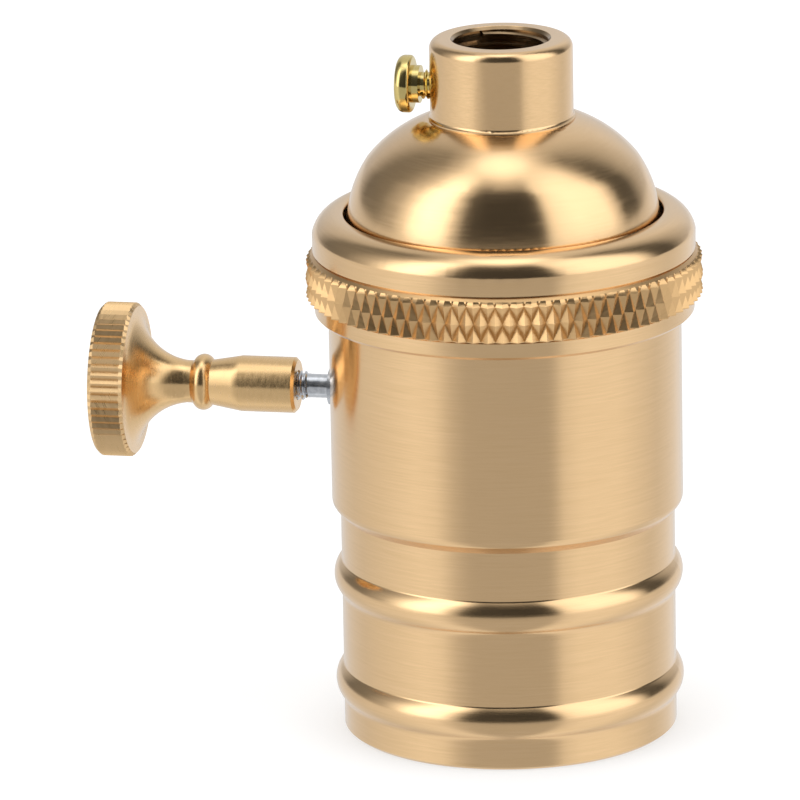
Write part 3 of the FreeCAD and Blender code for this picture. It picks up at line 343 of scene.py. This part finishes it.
def lathe_lines(tree, axis, centre, line_mm, run):
    """Fine lines round an axis: place in mm, direction round, distance from it, lines."""
    place = add(tree, "ShaderNodeTexCoord").outputs["Object"]
    local = add(tree, "ShaderNodeMapping", {
        "Vector": place, "Location": [-c for c in centre],
        "Scale": (1 / MM, 1 / MM, 1 / MM)}).outputs["Vector"]
    ring = add(tree, "ShaderNodeVectorMath", {0: axis, 1: local},
               operation="CROSS_PRODUCT").outputs[0]
    reach = add(tree, "ShaderNodeVectorMath", {0: ring}, operation="LENGTH").outputs["Value"]
    along = add(tree, "ShaderNodeVectorMath", {0: axis, 1: local},
                operation="DOT_PRODUCT").outputs["Value"]
    # minus the distance, so that the lines also follow one another on a flat face
    depth = add(tree, "ShaderNodeMath", {0: along, 1: reach}, operation="SUBTRACT").outputs[0]
    unit = add(tree, "ShaderNodeVectorMath", {0: ring}, operation="NORMALIZE").outputs[0]
    arc = add(tree, "ShaderNodeVectorMath", {0: unit, "Scale": run},
              operation="SCALE").outputs[0]
    rise = add(tree, "ShaderNodeVectorMath", {0: axis, "Scale": depth},
               operation="SCALE").outputs[0]
    fine = add(tree, "ShaderNodeVectorMath", {0: rise, "Scale": 1.0 / line_mm},
               operation="SCALE").outputs[0]
    lines_at = add(tree, "ShaderNodeVectorMath", {0: arc, 1: fine},
                   operation="ADD").outputs[0]
    lines = add(tree, "ShaderNodeTexNoise", {
        "Vector": lines_at, "Scale": 1.0, "Detail": 2.0, "Roughness": 0.6}).outputs["Fac"]
    return local, ring, reach, lines

# %% [markdown]
# The rings spread a reflection along the profile while it stays sharp round
# the axis. A shader has this as anisotropy: its tangent is given the direction
# round the axis, and the spread is turned a quarter against it. The colour and
# the roughness follow the lines a little, a broad cloud makes some parts
# duller than others, as handling does, and the bump is a hundredth of a
# millimetre deep at most.

# %% Turned metal
DARK_LINE, BRIGHT_LINE = (0.96, 0.95, 0.92, 1.0), (1.02, 1.02, 1.03, 1.0)
SMOOTHER, ROUGHER = 0.85, 1.15
CLOUD_PER_MM = 0.16
CLOUD_LOW, CLOUD_HIGH = 0.35, 0.65
HANDLED, DULLED = 0.94, 1.08
QUARTER_TURN = 0.25
LACQUER_ROUGHNESS = 0.12
LINE_BUMP = 0.01 * MM
# the painted shade in a bore: how soft its edge is in mm, and how dark it makes the colour
BORE_EDGE, BORE_SHADE = 0.05, 0.45


def turned_metal(name, hex_base, axis=(0, 0, 1), centre=(0, 0, 0), rough=0.24, spread=0.7,
                 line_mm=0.16, line_depth=0.10, coat=0.0, run=3.0, bore=0.0):
    """A lathe-turned metal: rings round an axis, spread reflections, fine streaks, painted
    shade in a bore.
    """
    material = bpy.data.materials.new(name)
    material.use_nodes = True
    tree = material.node_tree
    shader = tree.nodes["Principled BSDF"]
    local, ring, reach, lines = lathe_lines(tree, axis, centre, line_mm, run)
    darker, lighter = [tuple(c * part for c, part in zip(colour(hex_base), line))
                       for line in (DARK_LINE, BRIGHT_LINE)]
    tint = set_stops(add(tree, "ShaderNodeValToRGB", {"Fac": lines}),
                     [(LINES_LOW, darker), (LINES_HIGH, lighter)])
    # inside the bore's radius the colour is darkened: painted shade in the hole
    painted_bore_shade = add(tree, "ShaderNodeMapRange", {
        "Value": reach, "From Min": bore, "From Max": bore + BORE_EDGE,
        "To Min": BORE_SHADE, "To Max": 1.0}).outputs["Result"]
    shaded = add(tree, "ShaderNodeMix", {MIX_FACTOR: 1.0, MIX_A: tint, MIX_B: painted_bore_shade},
                 data_type="RGBA", blend_type="MULTIPLY").outputs[MIX_RESULT]
    soft = add(tree, "ShaderNodeMapRange", {
        "Value": lines, "From Min": LINES_LOW, "From Max": LINES_HIGH,
        "To Min": rough * SMOOTHER, "To Max": rough * ROUGHER}).outputs["Result"]
    cloud = add(tree, "ShaderNodeTexNoise", {
        "Vector": local, "Scale": CLOUD_PER_MM, "Detail": 3.0}).outputs["Fac"]
    worn = add(tree, "ShaderNodeMapRange", {
        "Value": cloud, "From Min": CLOUD_LOW, "From Max": CLOUD_HIGH,
        "To Min": HANDLED, "To Max": DULLED}).outputs["Result"]
    final = add(tree, "ShaderNodeMath", {0: soft, 1: worn}, operation="MULTIPLY").outputs[0]
    tangent = add(tree, "ShaderNodeVectorTransform", {"Vector": ring}, vector_type="VECTOR",
                  convert_from="OBJECT", convert_to="WORLD").outputs[0]
    bump = add(tree, "ShaderNodeBump", {
        "Height": lines, "Strength": line_depth, "Distance": LINE_BUMP}).outputs[0]
    tree.links.new(shaded, shader.inputs["Base Color"])
    tree.links.new(final, shader.inputs["Roughness"])
    tree.links.new(tangent, shader.inputs["Tangent"])
    tree.links.new(bump, shader.inputs["Normal"])
    shader.inputs["Metallic"].default_value = 1.0
    shader.inputs["Anisotropic"].default_value = spread
    shader.inputs["Anisotropic Rotation"].default_value = QUARTER_TURN
    shader.inputs["Coat Weight"].default_value = coat
    shader.inputs["Coat Roughness"].default_value = LACQUER_ROUGHNESS
    return material

# %% [markdown]
# Each outside piece has a finish of its own, because each was made in its own
# way. They share one brass, a little paler or warmer where the surface is
# rough or bare; the knurl's is also darker, as painted shade among its pyramids.
# Sizes are in millimetres, and the key and the set screw are turned round axes
# of their own.

# %% Brass finishes
BRASS = "EDC897"
X_AXIS, Z_AXIS, ON_AXIS = (1, 0, 0), (0, 0, 1), (0, 0, 0)
KEY_AXIS, KEY_CENTRE = (-1, 0, 0), (0, 0, 34.5)
SCREW_CENTRE = (0, 0, 66.3)
NECK_BORE = 5.0
finishes = {
    # drawn from sheet, turned and lacquered: wide soft bands run up the wall
    # under a thin gloss, and the turning shows as faint level streaks
    "shell": turned_metal("satin drawn and turned brass, lacquered", BRASS, rough=0.19,
                          spread=0.70, line_depth=0.02, coat=0.5),
    # turned from bar and lacquered: a tight bright line follows its round brow
    "ring": turned_metal("satin turned brass ring", BRASS, rough=0.18, spread=0.65,
                         line_depth=0.06, coat=0.4),
    # pressed by a knurling wheel after turning: each pyramid has four flat,
    # slightly grainy sides, so its light and dark sides are even, not streaked
    # its colour is darker and warmer than the ring's brass: painted shade among the pyramids
    "knurl": turned_metal("cut and rolled brass knurl with painted shade", "E3BC88", rough=0.33, spread=0.0,
                          line_mm=0.25, line_depth=0.30),
    # sheet spun over a former: the dome shows the boxes as soft curved patches
    "cap": turned_metal("satin spun brass dome", BRASS, rough=0.19, spread=0.70,
                        line_depth=0.05, coat=0.4),
    # faced and turned with a fine tool: closer and deeper lines make the neck
    # look silkier than the shell, and its bore is darkened with painted shade
    "neck": turned_metal("fine turned brass neck with painted bore shade", BRASS, rough=0.22, spread=0.6,
                         line_mm=0.12, line_depth=0.35, coat=0.4, run=9.0, bore=NECK_BORE),
    # turned round the key's own axis: the flat of the knob shows fine circles
    "knob": turned_metal("satin turned brass knob", "EFC992", axis=X_AXIS,
                         centre=KEY_CENTRE, rough=0.25, spread=0.55, line_mm=0.3,
                         line_depth=0.015, coat=0.3),
    # teeth pressed by a straight knurling wheel: plain, slightly rough flanks
    "knob_rim": turned_metal("straight-knurled brass rim", "EBC795", axis=X_AXIS,
                             centre=KEY_CENTRE, rough=0.30, spread=0.0, line_mm=0.25,
                             line_depth=0.30),
    # bought in, bright and a yellower brass: it gives small hard highlights
    "set_screw": turned_metal("polished yellow brass screw", "E0CB86", axis=X_AXIS,
                              centre=SCREW_CENTRE, rough=0.12, spread=0.2),
}
print("turned finishes:", len(finishes))

# %% [markdown]
# ## Plain finishes
# The pieces inside the shell are pressed, moulded, glazed, rolled or plated,
# and none of that leaves a direction. A noise as coarse as the material's own
# grain varies the colour, the gloss and a slight bump. The real grain of a
# plated or pressed surface is too fine to show, so it is drawn four tenths of a
# millimetre wide or more.

# %% Plain finish
GRAIN_LOW, GRAIN_HIGH = 0.35, 0.65
GLAZE_ROUGHNESS = 0.08
GRAIN_BUMP = 0.02 * MM


def plain_finish(name, low_hex, high_hex, metallic, rough, grain_mm, depth=0.05, coat=0.0):
    """A finish whose colour and gloss vary with a noise of the given grain."""
    material = bpy.data.materials.new(name)
    material.use_nodes = True
    tree = material.node_tree
    shader = tree.nodes["Principled BSDF"]
    place = add(tree, "ShaderNodeTexCoord").outputs["Object"]
    per_metre = 1 / (grain_mm * MM)
    scaled = add(tree, "ShaderNodeMapping", {
        "Vector": place, "Scale": (per_metre, per_metre, per_metre)}).outputs[0]
    grain = add(tree, "ShaderNodeTexNoise", {
        "Vector": scaled, "Scale": 1.0, "Detail": 4.0}).outputs["Fac"]
    tint = set_stops(add(tree, "ShaderNodeValToRGB", {"Fac": grain}),
                     [(GRAIN_LOW, colour(low_hex)), (GRAIN_HIGH, colour(high_hex))])
    gloss = add(tree, "ShaderNodeMapRange", {
        "Value": grain, "From Min": GRAIN_LOW, "From Max": GRAIN_HIGH,
        "To Min": rough * SMOOTHER, "To Max": rough * ROUGHER}).outputs["Result"]
    bump = add(tree, "ShaderNodeBump", {
        "Height": grain, "Strength": depth, "Distance": GRAIN_BUMP}).outputs[0]
    tree.links.new(tint, shader.inputs["Base Color"])
    tree.links.new(gloss, shader.inputs["Roughness"])
    tree.links.new(bump, shader.inputs["Normal"])
    shader.inputs["Metallic"].default_value = metallic
    shader.inputs["Coat Weight"].default_value = coat
    shader.inputs["Coat Roughness"].default_value = GLAZE_ROUGHNESS
    return material

# %% [markdown]
# Here are the inside finishes, from the bright spindle to the dull fibre. Each
# is given its darkest and its lightest colour, whether it is a metal, its
# roughness and its grain.

# %% Inside finishes
finishes.update({
    # turned steel with a thin bright zinc plating: bluish white, clear glints
    "shaft": plain_finish("zinc-plated steel spindle", "C6CAD0", "DADDE2", 1.0, 0.20, 0.6),
    # the same plating on a duller, stamped bush
    "bush": plain_finish("zinc-plated steel bush", "BFC3CA", "D6DADF", 1.0, 0.24, 0.6),
    # hot-pressed phenolic: nearly black, with the half gloss of the mould
    "rotor": plain_finish("moulded black phenolic", "191614", "24201D", 0.0, 0.35, 0.5, 0.1),
    # stamped from sheet and left bare: warm, with a blurred reflection
    "contact_brass": plain_finish("stamped brass", "D8B06A", "E2BE7C", 1.0, 0.30, 0.8),
    # porcelain under a clear glaze: warm white body, a wet-looking coat over it
    "porcelain": plain_finish("glazed white porcelain", "E9E6DD", "F2F0EA", 0.0, 0.14, 4.0,
                              0.04, 0.5),
    # paper fibre, soaked and pressed: dull and dark, with a coarse nap
    "liner": plain_finish("vulcanised fibre liner", "211D1A", "302B27", 0.0, 0.70, 0.4, 0.3),
    # thin sheet rolled to a thread: white metal, smooth from the rollers
    "screw_shell": plain_finish("rolled aluminium", "D6D7D9", "DDDEE0", 1.0, 0.26, 1.5, 0.03),
    # hard-rolled spring brass: browner and duller than the turned pieces
    "spring_brass": plain_finish("spring-temper brass", "CFA35E", "DBB26F", 1.0, 0.34, 0.5),
    # heads closed by a hammer die: bare brass, slightly uneven
    "rivets": plain_finish("headed brass rivet", "D6AE68", "E0BB78", 1.0, 0.28, 0.5),
    # rolled and plated by the barrel: bluish white and a little dull
    "steel_screws": plain_finish("zinc-plated steel screw", "BFC3CA", "D4D8DD", 1.0, 0.28,
                                 0.5),
})
for entry in frame["record"]["subparts"]:
    node = nodes[entry["node"]]
    node.data.materials.clear()
    node.data.materials.append(finishes[entry["material_slot"]])
print("dressed", len(nodes), "nodes in", len(finishes), "finishes")

# %% [markdown]
# ## Cut threads
# The solids have plain cylinders where the real pieces are threaded. A thread
# is a groove, so the cylinder is first taken down to the thread's root, and a
# V-shaped ridge is then wound on it. The cylinder could be spun again from a
# profile, but the solid's own mesh already has every other edge in place, so
# a merged copy of it is used and only the threaded part is moved.

# %% Merged copy and radius change
JOIN_MM = 0.002      # corners nearer than this are one corner
WALL_SLACK = 0.03    # how far a corner may lie off the wall that it belongs to


def merged_copy(node):
    """A bmesh of a node's own mesh, in millimetres, with its loose triangles joined."""
    bm = bmesh.new()
    bm.from_mesh(nodes[node].data)
    bmesh.ops.scale(bm, vec=(1 / MM, 1 / MM, 1 / MM), verts=bm.verts)
    bmesh.ops.remove_doubles(bm, verts=bm.verts, dist=JOIN_MM)
    return bm


def off_axis(place, axis, centre):
    """The part of a place that points away from an axis through a centre."""
    arm = place - Vector(centre)
    return arm - Vector(axis) * arm.dot(axis)


def recut(bm, axis, centre, old, new, near, far):
    """Moves the wall of one radius, between two places along the axis, to a new radius."""
    moved = 0
    for vert in bm.verts:
        arm = off_axis(vert.co, axis, centre)
        along = (vert.co - Vector(centre)).dot(axis)
        if abs(arm.length - old) < WALL_SLACK and near <= along <= far:
            vert.co += arm.normalized() * (new - old)
            moved += 1
    return moved

# %% [markdown]
# The ridge is one small section, a few tenths of a millimetre wide, wound up
# a screw line. Spinning it round the axis while it also rises by a step makes
# exactly that. It works for an outside thread and for an inside one: only the
# side that the crest is on changes. A metric thread has flanks of 30 degrees
# and a crest as wide as an eighth of the pitch. The ridge's foot is sunk into
# the wall, and its two ends are closed with a face each.

# %% Thread ridge
FOOT_SINK = 0.05
FLANK = math.radians(30)


def thread_ridge(bm, axis, centre, near, far, root, crest, pitch, per_turn=48):
    """Winds a V-shaped ridge round an axis, from one place along it to another."""
    axis, centre = Vector(axis), Vector(centre)
    side = axis.orthogonal().normalized()
    foot = root + (FOOT_SINK if crest < root else -FOOT_SINK)
    half_crest = pitch / 16
    half_foot = abs(crest - foot) * math.tan(FLANK) + half_crest
    corners = [(foot, -half_foot), (crest, -half_crest), (crest, half_crest), (foot, half_foot)]
    verts = [bm.verts.new(centre + side * r + axis * (near + half_foot + h))
             for r, h in corners]
    edges = [bm.edges.new((verts[i - 1], verts[i])) for i in range(4)]
    turns = (far - near - 2 * half_foot) / pitch
    count = max(8, round(per_turn * turns))
    before = set(bm.faces)
    bmesh.ops.spin(bm, geom=verts + edges, cent=centre, axis=axis,
                   dvec=axis * (pitch * turns / count), angle=2 * math.pi * turns,
                   steps=count, use_merge=False, use_duplicate=False)
    ridge = [f for f in bm.faces if f not in before]
    ends = {e for f in ridge for e in f.edges if e.is_boundary}
    bmesh.ops.holes_fill(bm, edges=list(ends), sides=4)
    return round(turns, 1)

# %% [markdown]
# Each finished bmesh becomes an object in the same way: its faces are turned
# outwards, edges sharper than a given angle stay crisp while the rest are
# shaded smooth, and the millimetres become metres. Weighting the normals by
# face area keeps long thin triangles from denting the shading of a wall. The
# piece then rides on the body that carries it, takes its own finish, and
# stands for the solid it was made from. A knurl has a finish of its own and
# rides on the body of the piece that it was pressed into.


def finish_piece(bm, name, finish, body, stands_for=(), crisp=28):
    """Makes a scene object from a bmesh in millimetres, riding on a body."""
    bmesh.ops.recalc_face_normals(bm, faces=bm.faces)
    bmesh.ops.scale(bm, vec=(MM, MM, MM), verts=bm.verts)
    for face in bm.faces:
        face.smooth = True
    for edge in bm.edges:
        if len(edge.link_faces) == 2 and edge.calc_face_angle() > math.radians(crisp):
            edge.smooth = False
    mesh = bpy.data.meshes.new(name)
    bm.to_mesh(mesh)
    bm.free()
    piece = bpy.data.objects.new(name, mesh)
    bpy.context.scene.collection.objects.link(piece)
    mesh.materials.append(finishes[finish])
    even = piece.modifiers.new("weighted normals", "WEIGHTED_NORMAL")
    even.keep_sharp = True
    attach(piece, body)
    if stands_for:
        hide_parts(*stands_for)
    print(name, "has", len(mesh.polygons), "faces")

# %% [markdown]
# The neck takes a standard M10 x 1 pipe: 10 mm across, one turn each
# millimetre. Inside, the ridges reach in to a radius of 4.46 mm and the root
# lies at 4.98 mm, so the mouth opens with the full ten millimetres and its
# first ridge lies just under the top face. The set screw's hole crosses the
# thread, so the ridge stops below the hole and starts again above it.

# %% Neck thread
M10 = {"root": 4.98, "crest": 4.46, "pitch": 1.0}
BORE_START, BORE_END = 61.0, 70.9
BELOW_HOLE, ABOVE_HOLE = (61.7, 64.6), (68.0, 71.0)
collar = merged_copy("neck_collar")
print("bore corners moved:", recut(collar, Z_AXIS, ON_AXIS, M10["crest"], M10["root"],
                                   BORE_START, BORE_END))
for start, end in (BELOW_HOLE, ABOVE_HOLE):
    print("turns from", start, "to", end, "mm:",
          thread_ridge(collar, Z_AXIS, ON_AXIS, start, end, **M10))
finish_piece(collar, "threaded_neck_collar", "neck", "cap", ["neck_collar"])

# %% [markdown]
# The dome is spun from one sheet, so its crown and its shoulder run into each
# other without an edge. A merged copy of the solid has that: where two of its
# faces meet at a flat angle, they are shaded as one.

# %% Dome
finish_piece(merged_copy("cap_dome"), "spun_brass_dome", "cap", "cap", ["cap_dome"], crisp=24)

# %% [markdown]
# The spindle's outer end has an M3 thread that the knob screws on to. A short
# stretch of it shows between the knob and the shell, in zinc-plated steel. The
# solid has it as a plain cylinder of 3 mm. Places along it are measured from
# the holder's axis.

# %% Spindle thread
M3 = {"root": 1.22, "crest": 1.49, "pitch": 0.5}
M3_PLAIN = 1.5
SPINDLE_CUT, SPINDLE_RIDGE = (20.0, 27.3), (20.15, 26.9)
spindle = merged_copy("switch_shaft")
print("thread corners moved:", recut(spindle, KEY_AXIS, KEY_CENTRE, M3_PLAIN, M3["root"],
                                     *SPINDLE_CUT))
print("turns:", thread_ridge(spindle, KEY_AXIS, KEY_CENTRE, *SPINDLE_RIDGE, **M3,
                             per_turn=32))
finish_piece(spindle, "threaded_switch_spindle", "shaft", "key", ["switch_shaft"])

# %% [markdown]
# The set screw is an M3 as well. Its thread shows between the shoulder and the
# collar, and again when the screw is turned out. Where its slot stops is up to
# the last turn of the screwdriver, so the copy is turned by some 60 degrees.

# %% Set screw thread
SLOT_TURN = math.radians(62)
SCREW_CUT, SCREW_RIDGE = (4.9, 8.3), (5.2, 8.15)
grub = merged_copy("set_screw")
bmesh.ops.rotate(grub, verts=grub.verts, cent=SCREW_CENTRE,
                 matrix=Matrix.Rotation(SLOT_TURN, 3, "X"))
print("thread corners moved:", recut(grub, KEY_AXIS, SCREW_CENTRE, M3_PLAIN, M3["root"],
                                     *SCREW_CUT))
print("turns:", thread_ridge(grub, KEY_AXIS, SCREW_CENTRE, *SCREW_RIDGE, **M3,
                             per_turn=32))
finish_piece(grub, "threaded_set_screw", "set_screw", "neck_screw", ["set_screw"])

# %% [markdown]
# ## Diamond knurl
# A knurling tool rolls two crossing sets of grooves into the ring, and what is
# left between them are staggered rows of small pyramids. The next cells need
# the same few things again and again: all of a mesh, its open edges, the
# corners that an operator has just made, and a corner drawn in to a radius.

# %% Mesh helpers
def everything(bm):
    """All corners, edges and faces of a mesh."""
    return list(bm.verts) + list(bm.edges) + list(bm.faces)


def open_edges(bm):
    """The edges with a face on one side only."""
    return [e for e in bm.edges if e.is_boundary]


def new_verts(made):
    """The corners among what an operator made."""
    return [g for g in made["geom"] if isinstance(g, bmesh.types.BMVert)]


def draw_in(vert, radius):
    """Moves a corner in to a radius round the holder's axis, if it is further out."""
    arm = off_axis(vert.co, Z_AXIS, ON_AXIS)
    if arm.length > radius:
        vert.co -= arm.normalized() * (arm.length - radius)

# %% [markdown]
# One diamond is a circle of four corners, stretched to its width and height
# and stood on the ring's wall, with its middle near the band's lower edge. It
# is copied half a pitch on and half a height up, the column is spun round the
# axis as copies, and the shared corners are joined. Poking every diamond, which
# puts a raised point in its middle, then makes all the pyramids at once.

# %% Knurl pyramids
KNURL_LOW, KNURL_HIGH = 45.15, 49.55
KNURL_ROOT, KNURL_TIP = 19.42, 19.99
KNURL_COUNT, ROWS = 85, 4
DIAMOND_HEIGHT = 3.6
FIRST_ROW = KNURL_LOW + 0.02
SHARED = 0.06        # the diamonds' corners meet within this
half_turn = math.pi / KNURL_COUNT
on_side = Matrix.Rotation(math.pi / 2, 3, "Y")
knurl = bmesh.new()
bmesh.ops.create_circle(knurl, cap_ends=True, segments=4, radius=1.0)
bmesh.ops.rotate(knurl, verts=knurl.verts, cent=ON_AXIS, matrix=on_side)
bmesh.ops.scale(knurl, verts=knurl.verts,
                vec=(1.0, KNURL_ROOT * math.tan(half_turn), DIAMOND_HEIGHT / 2))
bmesh.ops.translate(knurl, verts=knurl.verts, vec=(KNURL_ROOT, 0, FIRST_ROW))
diamond = everything(knurl)
for row in range(1, ROWS):
    copied = new_verts(bmesh.ops.duplicate(knurl, geom=diamond))
    bmesh.ops.translate(knurl, verts=copied, vec=(0, 0, row * DIAMOND_HEIGHT / 2))
    bmesh.ops.rotate(knurl, verts=copied, cent=ON_AXIS,
                     matrix=Matrix.Rotation((row % 2) * half_turn, 3, "Z"))
bmesh.ops.spin(knurl, geom=everything(knurl), cent=ON_AXIS, axis=Z_AXIS, dvec=(0, 0, 0),
               angle=2 * math.pi, steps=KNURL_COUNT, use_duplicate=True, use_merge=False)
bmesh.ops.remove_doubles(knurl, verts=knurl.verts, dist=SHARED)
for face in knurl.faces:
    if face.normal.dot(off_axis(face.calc_center_median(), Z_AXIS, ON_AXIS)) < 0:
        face.normal_flip()
bmesh.ops.poke(knurl, faces=list(knurl.faces), offset=KNURL_TIP - KNURL_ROOT)
print("pyramids:", len(knurl.faces) // 4)

# %% [markdown]
# The lattice reaches past the band, so it is cut off flat at the band's two
# edges. The upper edge was chamfered before it was knurled: everything that
# stands out of a 45 degree cone is pressed back onto it, which leaves a narrow
# plain bevel with the ends of the grooves in it. The lower edge is only eased
# by a tenth of a millimetre. A few level cuts give both cones corners to sit
# on.

# %% Knurl edges
CHAMFER_FOOT = 19.14
CHAMFER_CUTS = (49.42, 49.27, 49.1, 48.92)
EASED = KNURL_LOW + 0.10


def cut_level(bm, level, side=1, clear=False):
    """Cuts a mesh on a level plane, and clears what lies beyond it if asked."""
    bmesh.ops.bisect_plane(bm, geom=everything(bm), dist=0.001, plane_co=(0, 0, level),
                           plane_no=(0, 0, side), clear_outer=clear)


for level in (*CHAMFER_CUTS, EASED):
    cut_level(knurl, level)
cut_level(knurl, KNURL_HIGH, clear=True)
cut_level(knurl, KNURL_LOW, side=-1, clear=True)
for vert in knurl.verts:
    chamfer = CHAMFER_FOOT + KNURL_HIGH - vert.co.z
    ease = KNURL_TIP - max(0.0, EASED - vert.co.z)
    draw_in(vert, min(chamfer, ease))
print("corners of the cut lattice:", len(knurl.verts))

# %% [markdown]
# Last, both cut edges are drawn in to just under the ring's core and bridged,
# which closes the band against the ring.

# %% Knurl band
CORE = 18.85
CORE_SINK = 0.1
drawn = bmesh.ops.extrude_edge_only(knurl, edges=open_edges(knurl))
for vert in new_verts(drawn):
    draw_in(vert, CORE - CORE_SINK)
bmesh.ops.bridge_loops(knurl, edges=open_edges(knurl))
bmesh.ops.triangulate(knurl, faces=[f for f in knurl.faces if len(f.verts) > 4])
finish_piece(knurl, "diamond_knurl_band", "knurl", "ring", crisp=12)

# %% [markdown]
# The rest of the ring is the solid's own shape: its plain bands, its rounded
# brow and its lip. The solid's coarser knurl is taken off a merged copy, and
# the gap is bridged with the plain core that the new band sits on.

# %% Knurled ring
STANDS_OUT = CORE + 0.3      # a corner further out than this is on the coarse knurl
EDGE_SLACK = 0.02


def on_coarse_knurl(place):
    """Whether a corner of the solid's ring lies on its knurl."""
    return (off_axis(place, Z_AXIS, ON_AXIS).length > STANDS_OUT
            and KNURL_LOW - EDGE_SLACK < place.z < KNURL_HIGH + EDGE_SLACK)


ring_copy = merged_copy("knurled_ring")
coarse = [f for f in ring_copy.faces if any(on_coarse_knurl(v.co) for v in f.verts)]
bmesh.ops.delete(ring_copy, geom=coarse, context="FACES")
bmesh.ops.bridge_loops(ring_copy, edges=open_edges(ring_copy))
print("coarse faces taken off:", len(coarse), "open edges left:", len(open_edges(ring_copy)))
finish_piece(ring_copy, "knurled_brass_ring", "ring", "ring", ["knurled_ring"])

# %% [markdown]
# ## Straight knurl of the knob
# The knob's rim is gripped by fine teeth along its axis. The solid has fewer
# and broader ones, so its rim, all but the two flat sides, is taken off a
# merged copy and bridged plain.

# %% Knob body
RIM_TIP, RIM_ROOT, RIM_FLAT = 7.83, 7.54, 7.49
RIM_SLACK = 0.06     # how far inside the flats' edge the rim's corners may lie
FLAT_SIDE = 0.9      # a face whose normal lies this much along the axis is a flat side
knob_copy = merged_copy("knob")
knob_copy.normal_update()
coarse = [f for f in knob_copy.faces if abs(f.normal.dot(Vector(KEY_AXIS))) < FLAT_SIDE
          and all(off_axis(v.co, KEY_AXIS, KEY_CENTRE).length > RIM_FLAT - RIM_SLACK
                  for v in f.verts)]
bmesh.ops.delete(knob_copy, geom=coarse, context="FACES")
bmesh.ops.bridge_loops(knob_copy, edges=open_edges(knob_copy))
print("rim faces taken off:", len(coarse), "open edges left:", len(open_edges(knob_copy)))
finish_piece(knob_copy, "turned_knob_body", "knob", "key", ["knob"])

# %% [markdown]
# A band of sixty V-shaped teeth goes round the plain rim: one circle is drawn
# along the axis section by section, and at each section every other corner is
# set on the tips and the rest on the roots. Both ends have the solid's
# chamfer, and both stay a hundredth of a millimetre inside its flat sides.

# %% Knob rim
RIM_START, RIM_LENGTH, TEETH = 38.05, 3.57, 60
RIM_CHAMFER, INSIDE, RIM_SINK = 0.35, 0.01, 0.05
rim_end = RIM_LENGTH - INSIDE
sections = [(INSIDE, RIM_FLAT, RIM_FLAT), (RIM_CHAMFER, RIM_TIP, RIM_ROOT),
            (RIM_LENGTH - RIM_CHAMFER, RIM_TIP, RIM_ROOT), (rim_end, RIM_FLAT, RIM_FLAT),
            (rim_end, RIM_FLAT - RIM_SINK, RIM_FLAT - RIM_SINK)]
rim = bmesh.new()
bmesh.ops.create_circle(rim, segments=2 * TEETH, radius=RIM_FLAT - RIM_SINK)
bmesh.ops.rotate(rim, verts=rim.verts, cent=ON_AXIS, matrix=on_side)
bmesh.ops.translate(rim, verts=rim.verts, vec=(-RIM_START - INSIDE, 0, KEY_CENTRE[2]))
loop = list(rim.edges)
for along, tip, root in sections:
    fresh = set(new_verts(bmesh.ops.extrude_edge_only(rim, edges=loop)))
    for vert in fresh:
        arm = off_axis(vert.co, KEY_AXIS, KEY_CENTRE)
        on_tip = round(math.atan2(arm.y, arm.z) / (math.pi / TEETH)) % 2 == 0
        place = Vector(KEY_CENTRE) + Vector(KEY_AXIS) * (RIM_START + along)
        vert.co = place + arm.normalized() * (tip if on_tip else root)
    loop = [e for e in rim.edges if e.verts[0] in fresh and e.verts[1] in fresh]
bmesh.ops.bridge_loops(rim, edges=open_edges(rim))
finish_piece(rim, "knurled_knob_rim", "knob_rim", "key", crisp=12)
